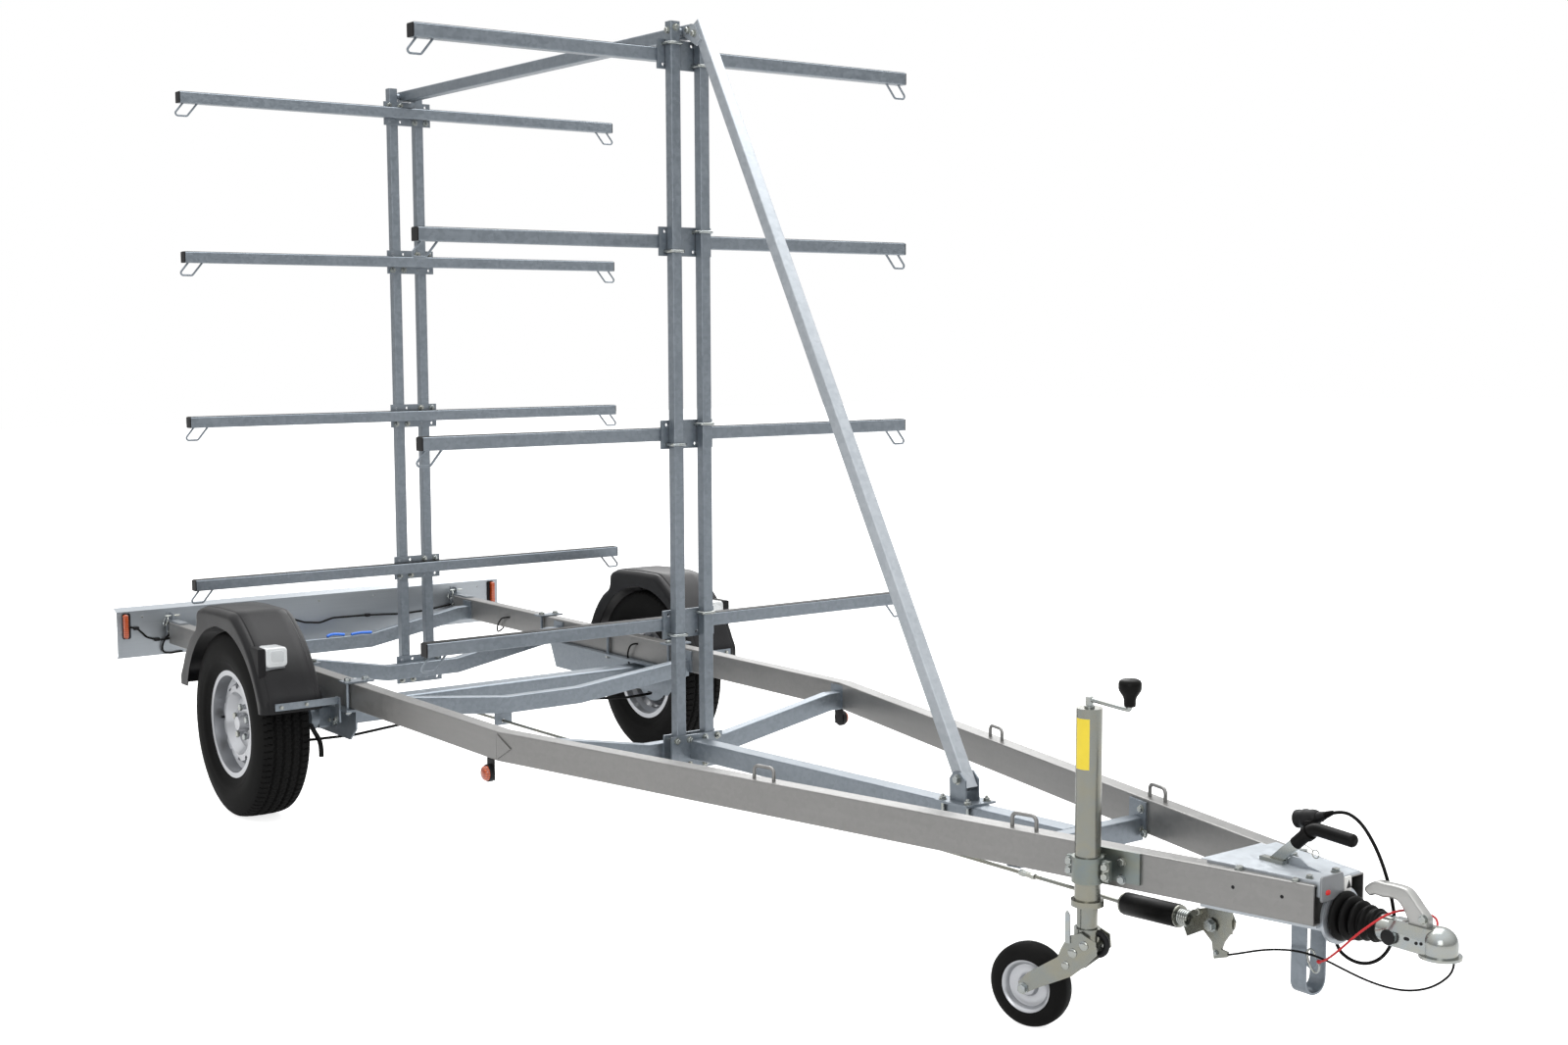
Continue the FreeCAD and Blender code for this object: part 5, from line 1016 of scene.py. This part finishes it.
def makeCouplingFittings():
    # the cast handle, its bolt, the damper bolt's cap, dark plates that paint the shade inside the head's slots, and
    # what shows on the housing's front
    ballX, ballZ = coupling["ball"]
    half = coupling["handleHalf"]
    lever = pillow(closedSmooth(coupling["handle"], 84), 2 * half, coupling["handleEdge"], (ballX, half, ballZ),
                   ahead, upward, 5)
    piece = addPiece("castHandle", [lever], "cast_zinc", smooth=40.0)
    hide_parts("coupling_handle")
    washer = lathe([(0, 0), (0, 0.011), (0.002, 0.011), (0.002, 0)], coupling["handleBolt"], rightward, 24)
    addPiece("handleBolts", [bolt(coupling["handleBolt"], rightward, 0.01), washer], "bright_zinc")
    cap = lathe([(0, 0), (0, 0.0165), (0.003, 0.0165), (0.0055, 0.013), (0.006, 0)], coupling["damperCap"],
                rightward, 32)
    addPiece("damperBoltCap", [cap], "cap_plastic", smooth=40.0)
    # dark plates in the head's slots: painted shade, not parts
    slots = []
    for x, z, length in coupling["slots"]:
        share = (x - coupling["neckStart"]) / coupling["neckLength"]
        y = -(coupling["neckHalf"] + share * coupling["neckGrowth"])
        slots.append(pillow(roundedOutline(length, coupling["slotHeight"], 0.0033), 0.0012, 0.0003, (x, y, z), ahead,
                            upward))
    addPiece("headSlots", slots, "cap_plastic", slotName="")
    panel = pillow(roundedOutline(*coupling["panel"]), 0.006, 0.002, coupling["panelPlace"], leftward, upward)
    addPiece("housingFront", [panel], "grey_cover", slotName="galvanised_steel", smooth=40.0)
    pale = pillow(roundedOutline(*coupling["pale"]), 0.005, 0.0015, coupling["palePlace"], leftward, upward)
    addPiece("wearIndicator", [pale], "white_part", smooth=40.0)
    arrow = pillow(coupling["arrow"], 0.001, 0.0003, coupling["arrowPlace"], leftward, upward)
    addPiece("indicatorArrow", [arrow], "cap_plastic")
    dot = dome(*coupling["dot"], coupling["dotPlace"], leftward, upward, 0.5)
    addPiece("redMark", [dot], "red_mark", smooth=50.0)
    ring = ringAround(coupling["ring"], ahead, upward, coupling["ringRadius"], coupling["ringWire"])
    link = sweep(smoothPath(coupling["link"], 16), coupling["linkWire"], 8)
    addPiece("leverRing", [ring, link], "bright_zinc", smooth=50.0)


makeBellows()
makeCouplingFittings()


# Plug parked on the grip, and the sleeve where its lead leaves it. Profiles are (share of the length or metres
# along, share of the radius).
plug = {"rear": (3.868, 0.016, 0.619), "front": (3.925, 0.016, 0.633), "neck": (3.945, 0.016, 0.643),
        "radius": 0.021, "lead": (0.901, 0.0, 0.433), "sleeve": 0.022, "sleeveRadius": 0.0078, "ribs": 5,
        "ribPitch": 0.0038, "strapPlace": (3.9225, -0.014, 0.6025), "strapWay": (0.774, 0, 0.633),
        "strapBore": 0.0154, "strapRadius": 0.0182, "strapHalf": 0.006, "bridge": (0.016, 0.03, 0.003),
        "bridgePlace": (3.92, 0.001, 0.617), "grommet": (3.968, 0.017, 0.402)}


def makePlug():
    # turned body with two collars, its neck, the ribbed sleeve on the lead and the rubber strap round the grip
    rear, front, neck = (np.array(plug[key]) for key in ("rear", "front", "neck"))
    length, tail, r = np.linalg.norm(front - rear), np.linalg.norm(neck - front), plug["radius"]
    body = lathe([(0, 0), (0, r * 0.7), (0.002, r * 0.78), (0.002, r * 0.98), (0.009, r), (0.011, r * 0.93),
                  (0.02, r * 0.93), (0.022, r), (0.03, r), (0.032, r * 0.93), (length - 0.012, r * 0.92),
                  (length - 0.004, r * 0.82), (length, r * 0.62), (length, 0)], rear, front - rear, 40)
    cone = lathe([(-0.004, 0), (-0.004, 0.012), (tail * 0.4, 0.0118), (tail * 0.5, 0.0105), (tail * 0.8, 0.0095),
                  (tail, 0.008), (tail, 0)], front, neck - front, 32)
    piece = addPiece("parkedPlug", [body, cone], "cap_plastic", smooth=40.0)
    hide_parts("plug")
    ribs = [(0, 0), (0, 0.0082)]
    for i in range(plug["ribs"]):
        at, radius = 0.002 + i * plug["ribPitch"], plug["sleeveRadius"] - i * 0.0006
        ribs += [(at, radius), (at + 0.0022, radius), (at + 0.0026, radius - 0.0011), (at + 0.0036, radius - 0.0011)]
    ribs += [(plug["sleeve"], 0.0043), (plug["sleeve"], 0.0)]
    reach, bore, radius = plug["strapHalf"], plug["strapBore"], plug["strapRadius"]
    strap = lathe([(-reach, bore), (-reach, radius), (reach, radius), (reach, bore), (-reach, bore)],
                  plug["strapPlace"], plug["strapWay"], 36)
    bridge = pillow(roundedOutline(*plug["bridge"]), 0.012, 0.002, plug["bridgePlace"], (1, 0, 0.2), leftward)
    grommet = lathe([(-0.02, 0), (-0.02, 0.0062), (-0.004, 0.009), (0.0, 0.011), (0.001, 0.011), (0.001, 0)],
                    plug["grommet"], upward, 28)
    for name, parts in (("plugStrap", [strap, bridge]), ("plugSleeve", [lathe(ribs, neck, plug["lead"], 28)]),
                        ("leadGrommet", [grommet])):
        addPiece(name, parts, "hose_rubber", smooth=40.0)


makePlug()


# Spring hook that joins the release cord to the ring on the safety loop
hook = {"path": [(3.966, -0.0335, 0.335), (3.958, -0.0335, 0.35), (3.947, -0.034, 0.352),
                 (3.943, -0.0345, 0.34), (3.95, -0.035, 0.318), (3.962, -0.035, 0.305), (3.972, -0.0345, 0.308),
                 (3.974, -0.034, 0.322), (3.966, -0.0335, 0.335)], "wire": 0.0024,
        "knot": (3.976, -0.037, 0.332), "knotWay": (0.9, -0.35, 0.25)}


def makeHook():
    # a wire bent to a closed hook and a small round knot
    knot = lathe([(-0.006, 0), (-0.005, 0.0035), (0.0, 0.0048), (0.005, 0.0035), (0.006, 0)], hook["knot"],
                 hook["knotWay"], 16)
    addPiece("springHook", [sweep(smoothPath(hook["path"], 60), hook["wire"], 10, leftward)], "bright_zinc",
             smooth=60.0)
    addPiece("cordKnot", [knot], "red_cord", smooth=60.0)


makeHook()


# Brake rod: black sleeve, pull spring and turnbuckle
brake = {"rear": (3.43, -0.06, 0.337), "front": (3.604, -0.06, 0.347), "guide": (0.546, -0.157, 0.334),
         "sleeve": 0.0275, "bore": 0.026, "coil": 0.0165, "coilWire": 0.0034, "turns": 4.5, "coilEnd": 3.632,
         "turnbuckle": 2.54, "linkage": ((3.704, -0.073, 0.353, 0.014), (3.66, -0.063, 0.372, 0.008),
                                         (3.712, -0.063, 0.289, 0.006))}


def makeBrakeFittings():
    # a sleeve over the canister, a coil in front of it and a six-sided turnbuckle on the rod behind
    rear, front, guide = (np.array(brake[key]) for key in ("rear", "front", "guide"))
    length, r, bore = np.linalg.norm(front - rear), brake["sleeve"], brake["bore"]
    sleevePart = lathe([(0.004, bore), (0.004, r - 0.002), (0.007, r), (length - 0.007, r),
                        (length - 0.004, r - 0.002), (length - 0.004, bore), (0.004, bore)], rear, front - rear, 40)
    addPiece("springSleeve", [sleevePart], "hose_rubber", smooth=40.0)
    t = np.linspace(0, 1, 150)
    angle = t * 2 * math.pi * brake["turns"]
    coil = np.stack([front[0] + t * (brake["coilEnd"] - front[0]), front[1] + brake["coil"] * np.cos(angle),
                     front[2] + brake["coil"] * np.sin(angle)], 1)
    way = (rear - guide) / np.linalg.norm(rear - guide)
    turnbuckle = lathe([(0, 0), (0, 0.008), (0.004, 0.0095), (0.014, 0.0095), (0.016, 0.008), (0.036, 0.008),
                        (0.038, 0.0095), (0.048, 0.0095), (0.052, 0.008), (0.052, 0)],
                       guide + way * brake["turnbuckle"], way, 6)
    addPiece("brakeSpring", [sweep(coil, brake["coilWire"], 10, (1, 0.01, 0.02))], "bright_zinc", smooth=60.0)
    addPiece("brakeTurnbuckle", [turnbuckle], "bright_zinc")
    addPiece("linkageNuts", [bolt(place, rightward, size) for *place, size in brake["linkage"]], "bright_zinc")


makeBrakeFittings()
print("coupling made")


# Road wheels: bolts and valve on each rim
wheel = {"face": 0.036, "boltRadius": 0.056, "bolts": 5, "boltSize": 0.0135, "valveRadius": 0.147,
         "valveFace": 0.022}


def makeWheelFittings():
    # bolts evenly round a circle, each with a round collar, and the valve level with the axle
    for side, sign in sides:
        out = (0, sign, 0)
        parts = []
        for a in np.arange(wheel["bolts"]) * 2 * math.pi / wheel["bolts"]:
            place = (wheel["boltRadius"] * math.sin(a), sign * (tyre["track"] + wheel["face"]),
                     axle[2] + wheel["boltRadius"] * math.cos(a))
            parts.append(bolt(place, out, wheel["boltSize"], washer=False))
            parts.append(lathe([(0, 0), (0, 0.011), (0.006, 0.0105), (0.008, 0)], place, out, 20))
        addPiece("wheelBolts_" + side, parts, "bright_zinc", "wheel_" + side, smooth=40.0)
        start = (-wheel["valveRadius"], sign * (tyre["track"] + wheel["valveFace"]), axle[2])
        stem = lathe([(0, 0), (0, 0.006), (0.012, 0.0055), (0.02, 0.0042), (0.034, 0.004), (0.036, 0.003),
                      (0.036, 0)], start, (0.12, sign, 0), 16)
        addPiece("tyreValve_" + side, [stem], "cap_plastic", "wheel_" + side, "black_rubber", 40.0)


makeWheelFittings()
print("wheels made")


# Jockey wheel, drawn about its upright axis and turned by the swivel's angle
jockey = {"centre": (3.49408, -0.25544), "swivel": 18.0, "clampTurn": 13.349, "trail": 0.143,
          "axleHeight": 0.1703, "tread": 0.03, "forkOut": 0.041, "axleNut": 0.012,
          "forkBolts": ((0.012, 0.3, 0.011), (-0.016, 0.278, 0.011), (-0.034, 0.246, 0.01)),
          "blade": [(-0.034, 0.3), (-0.034, 0.372), (-0.029, 0.378), (-0.022, 0.368), (-0.021, 0.3)],
          "latch": (0.024, 0, 0.297), "latchRadius": 0.026, "latchWire": 0.008, "crank": 0.123,
          "armRadius": 0.0055, "knob": 0.026, "tube": 0.03, "label": (0.706, 0.823),
          "clampNuts": ((0.066, 0.04, 0.446), (0.066, 0.04, 0.488), (-0.047, -0.002, 0.459),
                        (-0.047, -0.002, 0.481), (0.047, -0.002, 0.459), (0.047, -0.002, 0.481)), "nut": 0.01}


def turnedBothWays(half, place, turns):
    # half a profile turned with its mirror image into one closed ring, points on the middle plane standing once
    return lathe(half + [(-a, b) for a, b in reversed(half) if a] + [half[0]], place, leftward, turns)


def makeJockeyWheel():
    # tyre and pressed rim as profiles turned about the small wheel's axle
    w, f = jockey["tread"], jockey["forkOut"]
    place = (-jockey["trail"], 0, jockey["axleHeight"])
    tyrePart = turnedBothWays([(w * 0.86, 0.0615), (w, 0.066), (w, 0.078), (w * 0.93, 0.0865), (w * 0.78, 0.0935),
                               (w * 0.55, 0.0985), (w * 0.3, 0.1)], place, 72)
    rimPart = turnedBothWays([(0.0, 0.0085), (w * 0.9, 0.0085), (w * 0.9, 0.017), (w * 0.8, 0.0215), (0.011, 0.026),
                              (0.009, 0.03), (0.0105, 0.044), (0.013, 0.05), (w * 0.7, 0.0545), (w * 0.86, 0.058),
                              (w * 0.92, 0.0625), (w * 0.84, 0.0645), (w * 0.5, 0.06), (0.0, 0.058)], place, 60)
    turn = (jockey["swivel"], jockey["centre"])
    piece = addPiece("jockeyTyre", [turned(tyrePart, *turn)], "jockey_rubber", "jockey_wheel", smooth=35.0)
    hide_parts("jockey_wheel")
    addPiece("jockeyRim", [turned(rimPart, *turn)], "wheel_steel", "jockey_wheel", smooth=35.0)
    heads = []
    for side in (-1, 1):
        out = (0, side, 0)
        heads.append(bolt((place[0], side * f, place[2]), out, jockey["axleNut"]))
        heads += [lathe([(0, 0), (0, size), (0.002, size), (0.004, size * 0.75), (0.004, size * 0.4), (0.005, 0)],
                        (x, side * f, height), out, 24) for x, height, size in jockey["forkBolts"]]
    blade = pillow(filleted(jockey["blade"], 0.004), 0.004, 0.001, (0, -f, 0), ahead, upward)
    latch = ringAround(jockey["latch"], ahead, upward, jockey["latchRadius"], jockey["latchWire"], -1.3, 1.6)
    addPiece("forkBolts", [turned(part, *turn) for part in heads + [blade]], "bright_zinc", "jockey_fork",
             smooth=40.0)
    addPiece("forkLatch", [turned(latch, *turn)], "cap_plastic", "jockey_fork", smooth=40.0)


def makeJockeyTop():
    # crank with its mushroom knob, clamp bolts and the blank label, an arc of the tube's circle drawn upwards
    place, reach, k = jockey["centre"], jockey["crank"], jockey["knob"]
    hub = lathe([(0.845, 0), (0.845, 0.012), (0.85, 0.012), (0.851, 0.009), (0.869, 0.009), (0.871, 0.007),
                 (0.871, 0)], (*place, 0), upward, 24)
    armPath = filleted([(0.0, 0, 0.8635), (0.02, 0, 0.8635), (0.1, 0, 0.8585), (reach, 0, 0.8585),
                        (reach, 0, 0.872)], 0.01)
    arm = sweep(armPath + (*place, 0), jockey["armRadius"], 12, leftward)
    crank = addPiece("jockeyCrank", [hub, arm], "bright_zinc", smooth=40.0)
    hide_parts("jockey_crank")
    knob = lathe([(0.866, 0), (0.866, 0.0125), (0.87, 0.0135), (0.88, 0.0135), (0.888, 0.0155), (0.896, 0.021),
                  (0.902, k * 0.95), (0.907, k), (0.918, k), (0.924, k * 0.92), (0.9275, k * 0.7), (0.928, 0)],
                 (place[0] + reach, place[1], 0), upward, 48)
    addPiece("crankKnob", [knob], "hose_rubber", slotName="black_plastic", smooth=40.0)
    nuts = [turned(bolt(spot, rightward, jockey["nut"]), jockey["clampTurn"], place) for spot in jockey["clampNuts"]]
    addPiece("clampNuts", nuts, "bright_zinc")
    facing, left = np.array((0.694, -0.72, 0)), np.array((-0.6, -0.8, 0))
    a = np.linspace(-0.03, 1.35, 24)
    arc = np.cos(a)[:, None] * facing + np.sin(a)[:, None] * left
    arc /= np.linalg.norm(arc, axis=1)[:, None]
    loop = np.concatenate([arc * (jockey["tube"] + 0.0003), (arc * (jockey["tube"] - 0.0004))[::-1]])
    addPiece("blankLabel", [loft([loop + (*place, height) for height in jockey["label"]])], "label", smooth=40.0)


makeJockeyWheel()
makeJockeyTop()
print("jockey wheel made")


# Floor, light and backdrop. Strengths are for what the camera sees and for what shiny pieces reflect.
stage = {"reach": 60.0, "floorTone": 0.62, "floorSeen": 0.8, "floorGlossy": 0.35, "skyRise": 1.5, "skyLift": 0.3,
         "skyLow": 0.28, "skyHigh": 1.6, "skyGlossy": 0.12}


def makeStage():
    # a grey floor that also glows where it is seen, so that it melts into the backdrop
    mesh = bpy.data.meshes.new("studioFloor")
    reach = stage["reach"]
    mesh.from_pydata([(-reach, -reach, 0), (reach, -reach, 0), (reach, reach, 0), (-reach, reach, 0)], [],
                     [(0, 1, 2, 3)])
    floor = bpy.data.objects.new("studioFloor", mesh)
    bpy.context.scene.collection.objects.link(floor)
    finish = Finish("floorFinish")
    camera, glossy, clear = finish.rays()
    seen = (camera + glossy * stage["floorGlossy"] + clear).clipped()
    diffuse = finish.add("ShaderNodeBsdfDiffuse", inputs={"Color": (*[stage["floorTone"]] * 3, 1)})
    glow = finish.add("ShaderNodeEmission", inputs={"Strength": seen * stage["floorSeen"]})
    both = finish.add("ShaderNodeAddShader", inputs={0: diffuse, 1: glow})
    fill(finish.tree, finish.tree.nodes["Material Output"].inputs["Surface"], both)
    finish.tree.nodes.remove(finish.surface)
    mesh.materials.append(finish.material)


def makeWorld():
    # white where it is seen; elsewhere its strength is the lift plus the height times the rise, within limits
    world = bpy.data.worlds.new("studioWorld")
    world.use_nodes = True
    bpy.context.scene.world = world
    nodes = Nodes(world.node_tree)
    camera, glossy, clear = nodes.rays()
    towards = nodes.add("ShaderNodeTexCoord", output="Generated")
    height = nodes.add("ShaderNodeSeparateXYZ", inputs={0: towards}, output=2)
    sky = (height * stage["skyRise"] + stage["skyLift"]).clipped(stage["skyLow"], stage["skyHigh"])
    seen = (camera + clear).clipped()
    background = nodes.tree.nodes["Background"]
    background.inputs["Color"].default_value = (1, 1, 1, 1)
    fill(nodes.tree, background.inputs["Strength"], seen + (1 - seen) * (sky + glossy * stage["skyGlossy"]))


lamps = {"top": {"place": (-0.5, 1.5, 6.5), "aim": (0, 0, 0.4), "size": 6.0, "power": 420.0},
         "front": {"place": (6.0, -5.5, 3.2), "aim": (0.4, 0, 0.8), "size": 3.5, "power": 110.0},
         "left": {"place": (-5.0, 4.5, 4.5), "aim": (0, 0, 0.8), "size": 4.0, "power": 160.0}}


def makeLamps():
    # square lamps, each turned from its place towards its aim
    for name, lamp in lamps.items():
        data = bpy.data.lights.new("lamp_" + name, "AREA")
        data.energy, data.size = lamp["power"], lamp["size"]
        light = bpy.data.objects.new("lamp_" + name, data)
        bpy.context.scene.collection.objects.link(light)
        light.location = lamp["place"]
        aim = Vector(lamp["aim"]) - Vector(lamp["place"])
        light.rotation_euler = aim.to_track_quat("-Z", "Y").to_euler()


makeStage()
makeWorld()
makeLamps()
bpy.context.scene.view_settings.view_transform = "Standard"
print("stage made")

bpy.context.view_layer.update()
